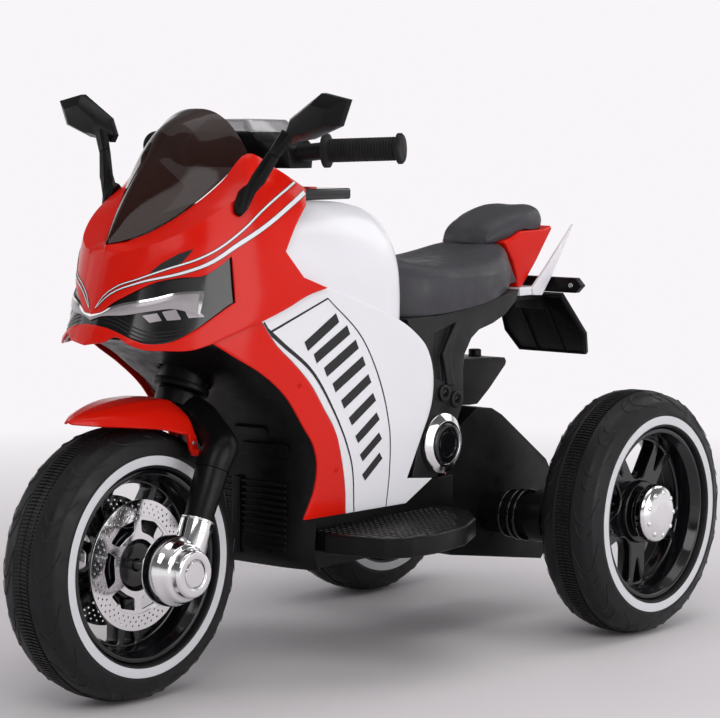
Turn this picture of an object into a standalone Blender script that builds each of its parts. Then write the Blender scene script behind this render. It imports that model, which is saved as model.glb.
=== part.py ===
"""Kids ride-on motorcycle: one steered front wheel, two driven rear wheels, plastic body panels.

Units are metres. +Z is up, the front faces -Y and the rider's left is +X. The origin lies on the
ground, half way between the axles.
"""
import math

import bmesh
import bpy
from mathutils import Matrix, Vector

# Driving dimensions of the running gear
TYRE_RADIUS = 0.165
TYRE_WIDTH = 0.092
TREAD_BAND_WIDTH = 0.024
RIM_RADIUS = 0.116
RIM_WIDTH = 0.080
RIM_INNER_RADIUS = 0.104
HUB_RADIUS = 0.030
WHEELBASE = 0.734
REAR_TRACK = 0.472
AXLE_RADIUS = 0.006
SPOKE_PAIRS = 5
WHEEL_STEPS = 28

# Driving dimensions of the steering
RAKE = math.radians(23.0)
FORK_OFFSET = 0.013
FORK_HALF_SPACING = 0.088
FORK_LEG_RADIUS = 0.0175
FORK_LEG_TOP_RADIUS = 0.0205
CROWN_RADIUS = 0.021
CROWN_HEIGHT = 0.200
COLLAR_RADIUS = 0.031
COLUMN_RADIUS = 0.0125
COLUMN_TOP = 0.509
HEAD_TUBE_LENGTH = 0.125
BAR_RADIUS = 0.011
GRIP_RADIUS = 0.0145
GRIP_LENGTH = 0.100
BRAKE_DISC_RADIUS = 0.079

# Driving dimensions of the body
BODY_HALF_WIDTH = 0.130
PANEL_THICKNESS = 0.0025
PANEL_STEP = 0.004
SEAT_HALF_WIDTH = 0.105
FOOTBOARD_HALF_SPAN = 0.234
FOOTBOARD_TOP = 0.186
FOOTBOARD_THICKNESS = 0.025
TRAY_HALF_WIDTH = 0.097
TRAY_TOP = 0.2245
TRAY_FLOOR = 0.136
TRAY_WALL = 0.005
HOUSING_HALF_WIDTH = 0.080

# Clearances
FIT = 0.0004
RUNNING_FIT = 0.0006
SEAM = 0.0008

# The body outlines below are drawn for a front and a rear axle at these points
OUTLINE_FRONT_AXLE = Vector((0.0, -0.367, 0.165))
OUTLINE_REAR_AXLE = Vector((0.0, 0.367, 0.165))

FRONT_AXLE = Vector((0.0, -WHEELBASE / 2, TYRE_RADIUS))
REAR_AXLE = Vector((0.0, WHEELBASE / 2, TYRE_RADIUS))
BODY_STRETCH = WHEELBASE / (OUTLINE_REAR_AXLE.y - OUTLINE_FRONT_AXLE.y)
BODY_LIFT = FRONT_AXLE.z - OUTLINE_FRONT_AXLE.z
STEERING_SHIFT = FRONT_AXLE - OUTLINE_FRONT_AXLE

STEERING_AXIS = Vector((0.0, math.sin(RAKE), math.cos(RAKE)))
STEERING_FORWARD = Vector((0.0, -math.cos(RAKE), math.sin(RAKE)))
STEERING_POINT = FRONT_AXLE - FORK_OFFSET * STEERING_FORWARD

# Body surface: (height, value) pairs for the line of the nose, the half width and the nose's depth
NOSE_LINE = [(0.430, -0.430), (0.469, -0.416), (0.546, -0.392), (0.600, -0.375), (0.660, -0.355)]
HALF_WIDTH = [
    (0.200, 0.9538), (0.300, 1.0), (0.500, 1.0), (0.547, 0.9538),
    (0.580, 0.9), (0.620, 0.8), (0.660, 0.7077),
]
NOSE_DEPTH = [(0.430, 0.200), (0.500, 0.200), (0.536, 0.165), (0.580, 0.150), (0.660, 0.110)]
COWL_REAR = [
    (0.489, -0.142), (0.504, -0.186), (0.536, -0.214), (0.560, -0.196), (0.599, -0.155), (0.660, -0.155),
]

# Colours of the finishes, as linear values with roughness and metallic
FINISHES = {
    "red_gloss": ((0.62, 0.016, 0.006), 0.18, 0.0),
    "white_gloss": ((0.80, 0.80, 0.82), 0.16, 0.0),
    "black_plastic": ((0.012, 0.012, 0.013), 0.48, 0.0),
    "grey_plastic": ((0.045, 0.045, 0.048), 0.52, 0.0),
    "seat_plastic": ((0.040, 0.040, 0.043), 0.60, 0.0),
    "smoked_clear": ((0.030, 0.022, 0.020), 0.06, 0.0),
    "chrome": ((0.80, 0.80, 0.80), 0.08, 1.0),
    "silver_paint": ((0.42, 0.42, 0.41), 0.35, 0.6),
    "steel": ((0.50, 0.50, 0.50), 0.32, 1.0),
    "tyre_black": ((0.016, 0.016, 0.017), 0.62, 0.0),
    "grip_rubber": ((0.010, 0.010, 0.010), 0.80, 0.0),
    "wire_red": ((0.45, 0.01, 0.008), 0.45, 0.0),
    "battery_grey": ((0.14, 0.14, 0.15), 0.60, 0.0),
}

PARTS = None
CUTTERS = None


def clear_scene():
    """Remove every object that the start-up file holds."""
    for item in list(bpy.data.objects):
        bpy.data.objects.remove(item, do_unlink=True)


def new_collection(name):
    """Return a new collection linked to the scene."""
    collection = bpy.data.collections.new(name)
    bpy.context.scene.collection.children.link(collection)
    return collection


def finish_material(name, finish):
    """Return a Principled material for one piece."""
    colour, roughness, metallic = FINISHES[finish]
    material = bpy.data.materials.new(name + "_finish")
    material.use_nodes = True
    shader = material.node_tree.nodes["Principled BSDF"]
    shader.inputs["Base Color"].default_value = (*colour, 1.0)
    shader.inputs["Roughness"].default_value = roughness
    shader.inputs["Metallic"].default_value = metallic
    return material


def add_object(name, data, finish):
    """Link a new object; without a finish it is a cutter."""
    item = bpy.data.objects.new(name, data)
    if finish is None:
        CUTTERS.objects.link(item)
        item.hide_render = True
        item.display_type = "WIRE"
    else:
        PARTS.objects.link(item)
        data.materials.append(finish_material(name, finish))
    return item


def from_bmesh(name, shape, finish, smooth_angle=35.0):
    """Turn a bmesh into an object with smooth faces and sharp edges."""
    mesh = bpy.data.meshes.new(name)
    shape.to_mesh(mesh)
    shape.free()
    mesh.shade_smooth()
    mesh.set_sharp_from_angle(angle=math.radians(smooth_angle))
    return add_object(name, mesh, finish)


def set_origin(item, point):
    """Move an object's origin to a world point and leave its shape where it is."""
    bpy.context.view_layer.update()
    local = item.matrix_world.inverted() @ point
    item.data.transform(Matrix.Translation(-local))
    item.location = point


def apply_boolean(target, tool, operation):
    """Cut the tool from the target or join it on."""
    modifier = target.modifiers.new(operation.lower() + "_" + tool.name, "BOOLEAN")
    modifier.operation = operation
    modifier.object = tool


def cut(target, *tools):
    """Cut each tool from the target."""
    for tool in tools:
        apply_boolean(target, tool, "DIFFERENCE")


def join(target, *tools):
    """Join each tool to the target."""
    for tool in tools:
        apply_boolean(target, tool, "UNION")


def bevel(item, width, segments=1):
    """Round the edges of an object."""
    modifier = item.modifiers.new("rounded_edges", "BEVEL")
    modifier.width = width
    modifier.segments = segments
    modifier.limit_method = "ANGLE"
    modifier.angle_limit = math.radians(40)


def box(name, low, high, finish):
    """Make a box between two corners."""
    shape = bmesh.new()
    bmesh.ops.create_cube(shape, size=1.0)
    low, high = Vector(low), Vector(high)
    size = high - low
    bmesh.ops.scale(shape, vec=size, verts=shape.verts)
    bmesh.ops.translate(shape, vec=(low + high) / 2, verts=shape.verts)
    return from_bmesh(name, shape, finish)


def rod(name, start, end, radius, finish, sides=20, end_radius=None):
    """Make a straight cylinder between two points, or a cone where the end has a radius of its own."""
    start, end = Vector(start), Vector(end)
    shape = bmesh.new()
    bmesh.ops.create_cone(
        shape, cap_ends=True, segments=sides, radius1=radius,
        radius2=radius if end_radius is None else end_radius, depth=(end - start).length,
    )
    turn = (end - start).to_track_quat("Z", "Y").to_matrix().to_4x4()
    shape.transform(Matrix.Translation((start + end) / 2) @ turn)
    return from_bmesh(name, shape, finish)


def turned(name, profile, finish, steps, centre, outward=1.0, closed=True):
    """Turn a profile of (radius, distance along X) about a line through centre along X."""
    mesh = bpy.data.meshes.new(name)
    points = [(radius, 0.0, along) for radius, along in profile]
    edges = [(i, i + 1) for i in range(len(points) - 1)]
    if closed:
        edges.append((len(points) - 1, 0))
    mesh.from_pydata(points, edges, [])
    item = add_object(name, mesh, finish)
    screw = item.modifiers.new("turned", "SCREW")
    screw.angle = 2 * math.pi
    screw.steps = steps
    screw.render_steps = steps
    screw.use_merge_vertices = True
    screw.merge_threshold = 0.00001
    screw.use_smooth_shade = True
    item.rotation_euler = (0.0, outward * math.pi / 2, 0.0)
    item.location = centre
    return item


def tube(name, points, radius, finish, resolution=2, smooth=False):
    """Make a round tube along points."""
    curve = bpy.data.curves.new(name, "CURVE")
    curve.dimensions = "3D"
    curve.bevel_depth = radius
    curve.bevel_resolution = resolution
    curve.use_fill_caps = True
    spline = curve.splines.new("POLY")
    spline.points.add(len(points) - 1)
    for target, point in zip(spline.points, points):
        target.co = (*point, 1.0)
    item = add_object(name, curve, finish)
    return as_mesh(item, finish)


def side_plate(name, outline, centre_x, thickness, finish):
    """Extrude an outline of (y, z) points along X."""
    curve = bpy.data.curves.new(name, "CURVE")
    curve.dimensions = "2D"
    curve.fill_mode = "BOTH"
    curve.extrude = thickness / 2
    spline = curve.splines.new("POLY")
    spline.points.add(len(outline) - 1)
    for target, (y, z) in zip(spline.points, outline):
        target.co = (y, z, 0.0, 1.0)
    spline.use_cyclic_u = True
    item = add_object(name, curve, finish)
    item.matrix_world = Matrix.Translation((centre_x, 0.0, 0.0)) @ Matrix(
        ((0, 0, 1, 0), (1, 0, 0, 0), (0, 1, 0, 0), (0, 0, 0, 1))
    )
    return as_mesh(item, finish)


def as_mesh(item, finish):
    """Replace a curve object by the closed mesh that it shows."""
    name = item.name
    bpy.context.view_layer.update()
    mesh = bpy.data.meshes.new_from_object(item.evaluated_get(bpy.context.evaluated_depsgraph_get()))
    mesh.transform(item.matrix_world)
    mesh.materials.clear()
    bpy.data.objects.remove(item, do_unlink=True)
    shape = bmesh.new()
    shape.from_mesh(mesh)
    bpy.data.meshes.remove(mesh)
    bmesh.ops.remove_doubles(shape, verts=shape.verts, dist=0.00001)
    bmesh.ops.recalc_face_normals(shape, faces=shape.faces)
    made = from_bmesh(name, shape, finish)
    made.name = name
    return made


def loft(name, sections, finish, smooth_angle=35.0):
    """Skin closed sections that share a count of points, with flat ends."""
    shape = bmesh.new()
    rings = [[shape.verts.new(point) for point in section] for section in sections]
    for ring, following in zip(rings, rings[1:]):
        for i, vertex in enumerate(ring):
            j = (i + 1) % len(ring)
            shape.faces.new((vertex, ring[j], following[j], following[i]))
    shape.faces.new(rings[0])
    shape.faces.new(rings[-1])
    bmesh.ops.recalc_face_normals(shape, faces=shape.faces)
    return from_bmesh(name, shape, finish, smooth_angle)


def skin(name, rows, finish, outward, thickness=PANEL_THICKNESS, mirrored=False, is_open=None):
    """Make a thin shell through a grid of points; its outer side is the grid."""
    shape = bmesh.new()
    grid = [[shape.verts.new(point) for point in row] for row in rows]
    for r in range(len(grid) - 1):
        for c in range(len(grid[0]) - 1):
            if is_open is None or not is_open(r, c):
                shape.faces.new((grid[r][c], grid[r][c + 1], grid[r + 1][c + 1], grid[r + 1][c]))
    shape.normal_update()
    facing = sum((face.normal * face.calc_area() for face in shape.faces), Vector())
    if facing.dot(Vector(outward)) < 0:
        bmesh.ops.reverse_faces(shape, faces=shape.faces)
    item = from_bmesh(name, shape, finish)
    if mirrored:
        mirror = item.modifiers.new("other_side", "MIRROR")
        mirror.use_axis[0] = True
        mirror.merge_threshold = 0.00005
    wall = item.modifiers.new("wall", "SOLIDIFY")
    wall.thickness = thickness
    wall.offset = -1.0
    return item


def read_curve(pairs, position):
    """Read a value between (position, value) pairs."""
    if position <= pairs[0][0]:
        return pairs[0][1]
    for (start, low), (end, high) in zip(pairs, pairs[1:]):
        if position <= end:
            return low + (high - low) * (position - start) / (end - start)
    return pairs[-1][1]


def blend(low, high, share):
    """Mix two numbers."""
    return low + (high - low) * share


def spread(points, count):
    """Return count points spaced evenly along a line of points."""
    points = [Vector(point) for point in points]
    lengths = [0.0]
    for start, end in zip(points, points[1:]):
        lengths.append(lengths[-1] + (end - start).length)
    result = []
    for i in range(count):
        reach = lengths[-1] * i / (count - 1)
        k = max(j for j in range(len(points) - 1) if lengths[j] <= reach or j == 0)
        span = lengths[k + 1] - lengths[k]
        result.append(points[k].lerp(points[k + 1], (reach - lengths[k]) / span))
    return result


def on_body(x, y, z):
    """Place a point of the body outlines in the world; the body stretches with the wheelbase."""
    return Vector((x, y * BODY_STRETCH, z + BODY_LIFT))


def body_outline(pairs):
    """Place a (y, z) outline of the body in the world."""
    return [(y * BODY_STRETCH, z + BODY_LIFT) for y, z in pairs]


def on_steering(x, y, z):
    """Place a point drawn with the front axle in the world; it moves with that axle."""
    return Vector((x, y, z)) + STEERING_SHIFT


def steering_outline(pairs):
    """Place a (y, z) outline drawn with the front axle in the world."""
    return [(y + STEERING_SHIFT.y, z + STEERING_SHIFT.z) for y, z in pairs]


def half_width_at(y, z, inset=0.0):
    """Half width of the body surface at an outline point."""
    front = read_curve(NOSE_LINE, z) + inset
    half = read_curve(HALF_WIDTH, z) * BODY_HALF_WIDTH - inset
    share = (y - front) / (read_curve(NOSE_DEPTH, z) - inset)
    if share >= 1.0:
        return half
    return half * math.sqrt(max(0.0, 1.0 - (1.0 - share) ** 2))


def cowl_point(column, z, inset=0.0):
    """Point of the cowl surface: column 0 is the nose line, 1 where the nose ends, 2 the rear edge."""
    front = read_curve(NOSE_LINE, z)
    depth = read_curve(NOSE_DEPTH, z)
    half = read_curve(HALF_WIDTH, z) * BODY_HALF_WIDTH - inset
    if column <= 1.0:
        angle = column * math.pi / 2
        x = half * math.sin(angle)
        y = front + depth - (depth - inset) * math.cos(angle)
    else:
        x = half
        y = blend(front + depth, read_curve(COWL_REAR, z), column - 1.0)
    return on_body(x, y, z)


def steering_point(along, forward=0.0, x=0.0):
    """Point given by its distance along the steering axis from the axle's height."""
    return STEERING_POINT + along * STEERING_AXIS + forward * STEERING_FORWARD + Vector((x, 0.0, 0.0))


# Upper cowl: edges as (column, height) pairs on the body surface
COWL_COLUMNS = [0.0, 0.07, 0.13, 0.20, 0.27, 0.35, 0.46, 0.58, 0.66, 0.73, 0.866, 1.0, 1.5, 2.0]
COWL_BOTTOM = [
    (0.0, 0.4307), (0.13, 0.435), (0.20, 0.4415), (0.27, 0.434), (0.36, 0.4265), (0.56, 0.4240),
    (0.66, 0.4310), (0.866, 0.4531), (1.0, 0.468), (1.5, 0.482), (2.0, 0.489),
]
LAMP_BOTTOM = [
    (0.0, 0.4550), (0.10, 0.4530), (0.17, 0.4499), (0.26, 0.4416), (0.35, 0.4344), (0.44, 0.4338),
    (0.53, 0.4366), (0.58, 0.4493), (0.64, 0.4619), (0.73, 0.4790), (1.0, 0.492), (2.0, 0.504),
]
LAMP_TOP = [
    (0.0, 0.4665), (0.07, 0.4696), (0.13, 0.4795), (0.26, 0.4955), (0.35, 0.5044), (0.46, 0.5093),
    (0.58, 0.5117), (0.67, 0.5237), (0.73, 0.533), (1.0, 0.540), (2.0, 0.536),
]
COWL_SHOULDER = [
    (0.0, 0.536), (0.20, 0.541), (0.413, 0.555), (0.618, 0.580), (0.85, 0.606), (1.0, 0.622),
    (1.5, 0.608), (2.0, 0.590),
]
LAMP_END_COLUMN = 0.73
LIGHT_BAR_END_COLUMN = 0.66
COWL_ROWS_ABOVE = 2

# Edge that the windscreen stands on: (column, half width, y, height)
SCREEN_EDGE = [
    (0.0, 0.0, -0.392, 0.5460), (0.20, 0.0170, -0.3750, 0.5500), (0.35, 0.0320, -0.3565, 0.5590),
    (0.46, 0.0430, -0.3395, 0.5690), (0.58, 0.0550, -0.3210, 0.5820), (0.73, 0.0675, -0.2975, 0.6005),
    (0.866, 0.0770, -0.2750, 0.6200), (1.0, 0.0850, -0.2380, 0.6530), (1.5, 0.0950, -0.1960, 0.6340),
    (2.0, 0.1030, -0.1530, 0.6100),
]
BEZEL_INSET = 0.0038
BEZEL_FLANGE = 0.004
LIGHT_BAR_TOP = [
    (0.0, 0.4660), (0.07, 0.4690), (0.165, 0.4790), (0.33, 0.4850), (0.53, 0.4965), (0.63, 0.490),
]
LIGHT_BAR_BOTTOM = [
    (0.0, 0.4590), (0.085, 0.4650), (0.22, 0.4661), (0.34, 0.4707), (0.52, 0.4745), (0.56, 0.4640),
    (0.63, 0.4640),
]


def screen_edge_point(column):
    """Point of the cowl's top edge at a column."""
    return on_body(*[
        read_curve([(edge[0], edge[k]) for edge in SCREEN_EDGE], column) for k in (1, 2, 3)
    ])


def make_upper_cowl():
    """Red nose shell with the opening for the lamps."""
    rows = []
    for outline in (COWL_BOTTOM, LAMP_BOTTOM, LAMP_TOP):
        rows.append([cowl_point(c, read_curve(outline, c)) for c in COWL_COLUMNS])
    for r in range(1, COWL_ROWS_ABOVE + 1):
        row = []
        for c in COWL_COLUMNS:
            height = blend(read_curve(LAMP_TOP, c), read_curve(COWL_SHOULDER, c), r / COWL_ROWS_ABOVE)
            row.append(cowl_point(c, height))
        rows.append(row)
    rows.append([screen_edge_point(c) for c in COWL_COLUMNS])
    lamp_faces = sum(1 for c in COWL_COLUMNS if c < LAMP_END_COLUMN)
    skin(
        "upper_cowl", rows, "red_gloss", (1.0, -1.0, 0.0), mirrored=True,
        is_open=lambda r, c: r == 1 and c < lamp_faces,
    )


def make_headlights():
    """Black bezel behind the lamp opening and the bright bar across it."""
    columns = [c for c in COWL_COLUMNS if c <= LAMP_END_COLUMN] + [LAMP_END_COLUMN + 0.03]
    rows = []
    for share in (0.0, 0.33, 0.67, 1.0):
        row = []
        for c in columns:
            low = read_curve(LAMP_BOTTOM, c) - BEZEL_FLANGE
            high = read_curve(LAMP_TOP, c) + BEZEL_FLANGE
            row.append(cowl_point(c, blend(low, high, share), BEZEL_INSET))
        rows.append(row)
    skin("headlight_bezel", rows, "black_plastic", (1.0, -1.0, 0.0), mirrored=True)
    bar_thickness = BEZEL_INSET - PANEL_THICKNESS / 5
    rows = []
    for outline in (LIGHT_BAR_BOTTOM, LIGHT_BAR_TOP):
        rows.append([cowl_point(c, read_curve(outline, c)) for c in columns if c < LIGHT_BAR_END_COLUMN])
    skin("light_bar", rows, "chrome", (1.0, -1.0, 0.0), thickness=bar_thickness - 0.001, mirrored=True)


# Windscreen: (y, height of the ridge) pairs and how round its section is at each y
SCREEN_RIDGE = [
    (-0.391, 0.5490), (-0.360, 0.5950), (-0.330, 0.632), (-0.280, 0.687), (-0.250, 0.703), (-0.236, 0.707),
]
SCREEN_ROUNDNESS = [(-0.391, 1.6), (-0.300, 1.7), (-0.236, 2.5)]
SCREEN_COLUMNS = [0.02, 0.12, 0.27, 0.46, 0.66, 0.85, 1.0]
SCREEN_THICKNESS = 0.002
SCREEN_SHARES = [1.0, 0.93, 0.78, 0.58, 0.36, 0.16, 0.0]
SCREEN_LIFT = 0.0014


def make_windscreen():
    """Smoked bubble on the cowl's top edge."""
    rows = []
    for column in SCREEN_COLUMNS:
        half, y, low = [read_curve([(edge[0], edge[k]) for edge in SCREEN_EDGE], column) for k in (1, 2, 3)]
        low += SCREEN_LIFT
        high = max(read_curve(SCREEN_RIDGE, y), low + 0.001)
        power = read_curve(SCREEN_ROUNDNESS, y)
        row = []
        for share in SCREEN_SHARES:
            row.append(on_body(half * share, y, low + (high - low) * (1.0 - share ** power)))
        rows.append(row)
    skin("windscreen", rows, "smoked_clear", (1.0, 0.0, 1.0), thickness=SCREEN_THICKNESS, mirrored=True)


# Side panels: (y, z) outlines of the red band and the white panel
BAND_INNER = [
    (-0.3325, 0.436), (-0.298, 0.4147), (-0.252, 0.389), (-0.212, 0.358), (-0.184, 0.323),
    (-0.162, 0.293), (-0.156, 0.2755), (-0.157, 0.247), (-0.176, 0.2055),
]
BAND_OUTER = [
    (-0.262, 0.462), (-0.232, 0.425), (-0.200, 0.400), (-0.170, 0.373), (-0.143, 0.338),
    (-0.120, 0.305), (-0.110, 0.2755), (-0.102, 0.247), (-0.097, 0.2045),
]
WHITE_REAR = [
    (-0.142, 0.4905), (-0.076, 0.470), (-0.012, 0.447), (0.030, 0.425), (0.057, 0.402),
    (0.068, 0.378), (0.068, 0.333), (0.048, 0.290), (0.022, 0.2360), (0.074, 0.2305), (0.022, 0.2035),
]
WHITE_FRONT = [
    (-0.262, 0.462), (-0.232, 0.425), (-0.200, 0.400), (-0.170, 0.373), (-0.143, 0.338),
    (-0.126, 0.315), (-0.115, 0.290), (-0.106, 0.262), (-0.101, 0.240), (-0.099, 0.228), (-0.097, 0.2045),
]


def side_skin(name, side, front, rear, columns, finish, inset):
    """Make one side panel between a front and a rear outline."""
    rows = []
    for (front_y, front_z), (rear_y, rear_z) in zip(front, rear):
        row = []
        for k in range(columns + 1):
            y = blend(front_y, rear_y, k / columns)
            z = blend(front_z, rear_z, k / columns)
            point = on_body(half_width_at(y, z, inset), y, z)
            point.x *= side
            row.append(point)
        rows.append(row)
    return skin(name, rows, finish, (side, 0.0, 0.0))


def make_side_panels(suffix, side):
    """Red band and white panel of one side."""
    band_outer = [(y - SEAM, z) for y, z in BAND_OUTER]
    side_skin("side_fairing_" + suffix, side, BAND_INNER, band_outer, 2, "red_gloss", PANEL_STEP)
    white_front = [(y + SEAM, z) for y, z in WHITE_FRONT]
    side_skin("side_panel_" + suffix, side, white_front, WHITE_REAR, 4, "white_gloss", PANEL_STEP)


# Front cowl: rows of (height, centre y, side y) from the nose down to the bottom edge
FRONT_COWL_ROWS = [
    (0.436, -0.398, -0.330), (0.424, -0.345, -0.300), (0.405, -0.300, -0.262), (0.389, -0.275, -0.240),
    (0.367, -0.243, -0.208), (0.345, -0.214, -0.190), (0.320, -0.188, -0.168), (0.300, -0.173, -0.152),
    (0.272, -0.165, -0.146), (0.200, -0.164, -0.146), (0.150, -0.164, -0.146), (0.137, -0.153, -0.140),
]
FRONT_COWL_SHARES = [0.0, 0.3, 0.55, 0.75, 0.88, 0.96, 1.0]
RIB_COUNT = 11
RIB_LOW = 0.162
RIB_PITCH = 0.0079
RIB_REACH = 0.082
RIB_DEPTH = 0.003
RIB_HEIGHT = 0.004
POST_HALF_WIDTH = 0.006


def make_front_cowl():
    """Black shell behind the front wheel, with a post, ribs and a hole for the collar."""
    rows = []
    for z, centre_y, side_y in FRONT_COWL_ROWS:
        row = []
        reach = half_width_at(side_y, z, 2 * PANEL_STEP) - 2 * SEAM
        for share in FRONT_COWL_SHARES:
            row.append(on_body(reach * share, centre_y + (side_y - centre_y) * share ** 4, z))
        rows.append(row)
    shell = skin("front_cowl", rows, "black_plastic", (0.0, -1.0, 0.0), mirrored=True)
    face_y = FRONT_COWL_ROWS[9][1]
    for k in range(RIB_COUNT):
        z = RIB_LOW + k * RIB_PITCH
        low = on_body(-RIB_REACH, face_y - RIB_DEPTH, z)
        high = on_body(RIB_REACH, face_y + PANEL_THICKNESS / 2, z + RIB_HEIGHT)
        join(shell, box("front_rib_tool_%d" % k, low, high, None))
    low = on_body(-POST_HALF_WIDTH, face_y - 2 * RIB_DEPTH, RIB_LOW - 0.012)
    high = on_body(POST_HALF_WIDTH, face_y + PANEL_THICKNESS / 2, RIB_LOW + RIB_COUNT * RIB_PITCH)
    join(shell, box("front_post_tool", low, high, None))
    cut(shell, rod(
        "collar_hole_tool", steering_point(CROWN_HEIGHT), steering_point(CROWN_HEIGHT + HEAD_TUBE_LENGTH),
        COLLAR_RADIUS + 2 * FIT, None, sides=24,
    ))


# Main frame: backbone outline behind the head tube, as (y, z) points; its front goes with the steering
BACKBONE_FRONT = [(-0.226, 0.432), (-0.205, 0.470)]
BACKBONE = [
    (-0.120, 0.455), (0.060, 0.400), (0.112, 0.340), (0.118, 0.150),
    (0.118, TRAY_FLOOR + TRAY_WALL + FIT), (0.094, TRAY_FLOOR + TRAY_WALL + FIT), (0.088, 0.325),
    (0.045, 0.372), (-0.130, 0.425),
]
BACKBONE_HALF_WIDTH = 0.018
HEAD_TUBE_START = 0.030


def make_main_frame():
    """Steel head tube with its collar and the backbone that goes down to the tray."""
    start = CROWN_HEIGHT + CROWN_RADIUS + RUNNING_FIT + FIT
    collar = 0.050
    frame = rod(
        "main_frame", steering_point(start), steering_point(start + collar), COLLAR_RADIUS, "black_plastic",
        sides=24,
    )
    join(frame, rod(
        "head_tube_tool", steering_point(start + HEAD_TUBE_START), steering_point(start + HEAD_TUBE_LENGTH),
        COLLAR_RADIUS * 0.75, None, sides=24,
    ))
    outline = steering_outline(BACKBONE_FRONT) + body_outline(BACKBONE)
    join(frame, side_plate("backbone_tool", outline, 0.0, 2 * BACKBONE_HALF_WIDTH, None))
    cut(frame, rod(
        "head_bore_tool", steering_point(start - 0.01), steering_point(start + HEAD_TUBE_LENGTH + 0.01),
        COLUMN_RADIUS + RUNNING_FIT, None, sides=20,
    ))


# Chassis tray
TRAY_FRONT = -0.1425
HOUSING_FRONT = 0.150
BATTERY_LOW = (-0.055, -0.045, TRAY_FLOOR + TRAY_WALL + FIT)
BATTERY_HIGH = (0.055, 0.075, TRAY_FLOOR + TRAY_WALL + FIT + 0.072)


def make_chassis():
    """Bottom tray with the battery."""
    low = on_body(-TRAY_HALF_WIDTH, TRAY_FRONT, TRAY_FLOOR)
    high = on_body(TRAY_HALF_WIDTH, HOUSING_FRONT, TRAY_TOP) - Vector((0.0, FIT, 0.0))
    tray = box("chassis_tray", low, high, "black_plastic")
    wall = Vector((TRAY_WALL, TRAY_WALL, TRAY_WALL))
    inner_high = Vector((high.x - TRAY_WALL, high.y - TRAY_WALL, high.z + TRAY_WALL))
    cut(tray, box("tray_inside_tool", low + wall, inner_high, None))
    battery = box("battery", on_body(*BATTERY_LOW), on_body(*BATTERY_HIGH), "battery_grey")
    bevel(battery, 0.003)


# Tank: (y, share of the half width, bottom height, top height) stations
TANK_STATIONS = [
    (-0.150, 0.98, 0.486, 0.590), (-0.115, 0.98, 0.478, 0.592), (-0.076, 0.985, 0.464, 0.592),
    (-0.040, 0.985, 0.452, 0.590), (-0.010, 0.97, 0.443, 0.585), (0.012, 0.92, 0.440, 0.575),
    (0.030, 0.79, 0.440, 0.556), (0.044, 0.57, 0.442, 0.532),
]
TANK_LEAN_STATIONS = 2.0
TANK_SECTION = [
    (1.0, 0.0), (1.0, 0.28), (0.97, 0.52), (0.89, 0.72), (0.76, 0.88), (0.58, 0.975), (0.42, 1.0), (0.0, 1.0),
]
TANK_FRONT_LEAN = [-0.075, -0.085, -0.088, -0.070, -0.045, -0.020, 0.0, 0.0]


def make_tank():
    """White tank cover between the cowl and the seat."""
    rows = []
    for station, (y, share, low, high) in enumerate(TANK_STATIONS):
        row = []
        for k, (across, up) in enumerate(TANK_SECTION):
            lean = TANK_FRONT_LEAN[k] * max(0.0, 1.0 - station / TANK_LEAN_STATIONS)
            point_y = y + lean
            z = blend(low, high, up)
            widest = half_width_at(point_y, z, PANEL_STEP + PANEL_THICKNESS + 1.5 * FIT)
            x = min(across * share * (BODY_HALF_WIDTH - PANEL_STEP), widest)
            row.append(on_body(x, point_y, z))
        row[-1].x = 0.0
        rows.append(row)
    skin("tank_cover", rows, "white_gloss", (1.0, 0.0, 1.0), mirrored=True)


# Dash on the tank, with its keys
DASH_LOW = (-0.048, -0.128, 0.5924)
DASH_HIGH = (0.048, -0.002, 0.6064)
KEY_TRAVEL = 0.003
KEY_RISE = 0.005


def make_dash():
    """Key panel on the tank with two rocker switches and a push button."""
    low = on_body(*DASH_LOW)
    high = on_body(*DASH_HIGH)
    panel = box("dash_panel", low, high, "black_plastic")
    bevel(panel, 0.002)
    middle_y = (low.y + high.y) / 2
    for name, x, half_x, half_y, finish in (
        ("power_switch", 0.027, 0.0110, 0.0075, "wire_red"),
        ("direction_switch", -0.027, 0.0110, 0.0075, "grey_plastic"),
    ):
        well = box(
            name + "_well_tool", (x - half_x - RUNNING_FIT, middle_y - half_y - RUNNING_FIT, high.z - 0.007),
            (x + half_x + RUNNING_FIT, middle_y + half_y + RUNNING_FIT, high.z + 0.01), None,
        )
        cut(panel, well)
        key = box(
            name, (x - half_x, middle_y - half_y, high.z - 0.0035),
            (x + half_x, middle_y + half_y, high.z + 0.0025), finish,
        )
        set_origin(key, Vector((x, middle_y, high.z - 0.0005)))
    centre = Vector((0.0, middle_y, 0.0))
    floor = high.z - 0.007
    cut(panel, rod(
        "horn_well_tool", centre + Vector((0, 0, floor)), centre + Vector((0, 0, high.z + 0.01)),
        0.0075 + RUNNING_FIT, None, sides=20,
    ))
    horn = rod(
        "horn_button", centre + Vector((0, 0, floor + KEY_TRAVEL + RUNNING_FIT)),
        centre + Vector((0, 0, high.z + KEY_RISE - 0.001)), 0.0075, "wire_red", sides=20,
    )
    set_origin(horn, centre + Vector((0, 0, high.z)))


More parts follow.
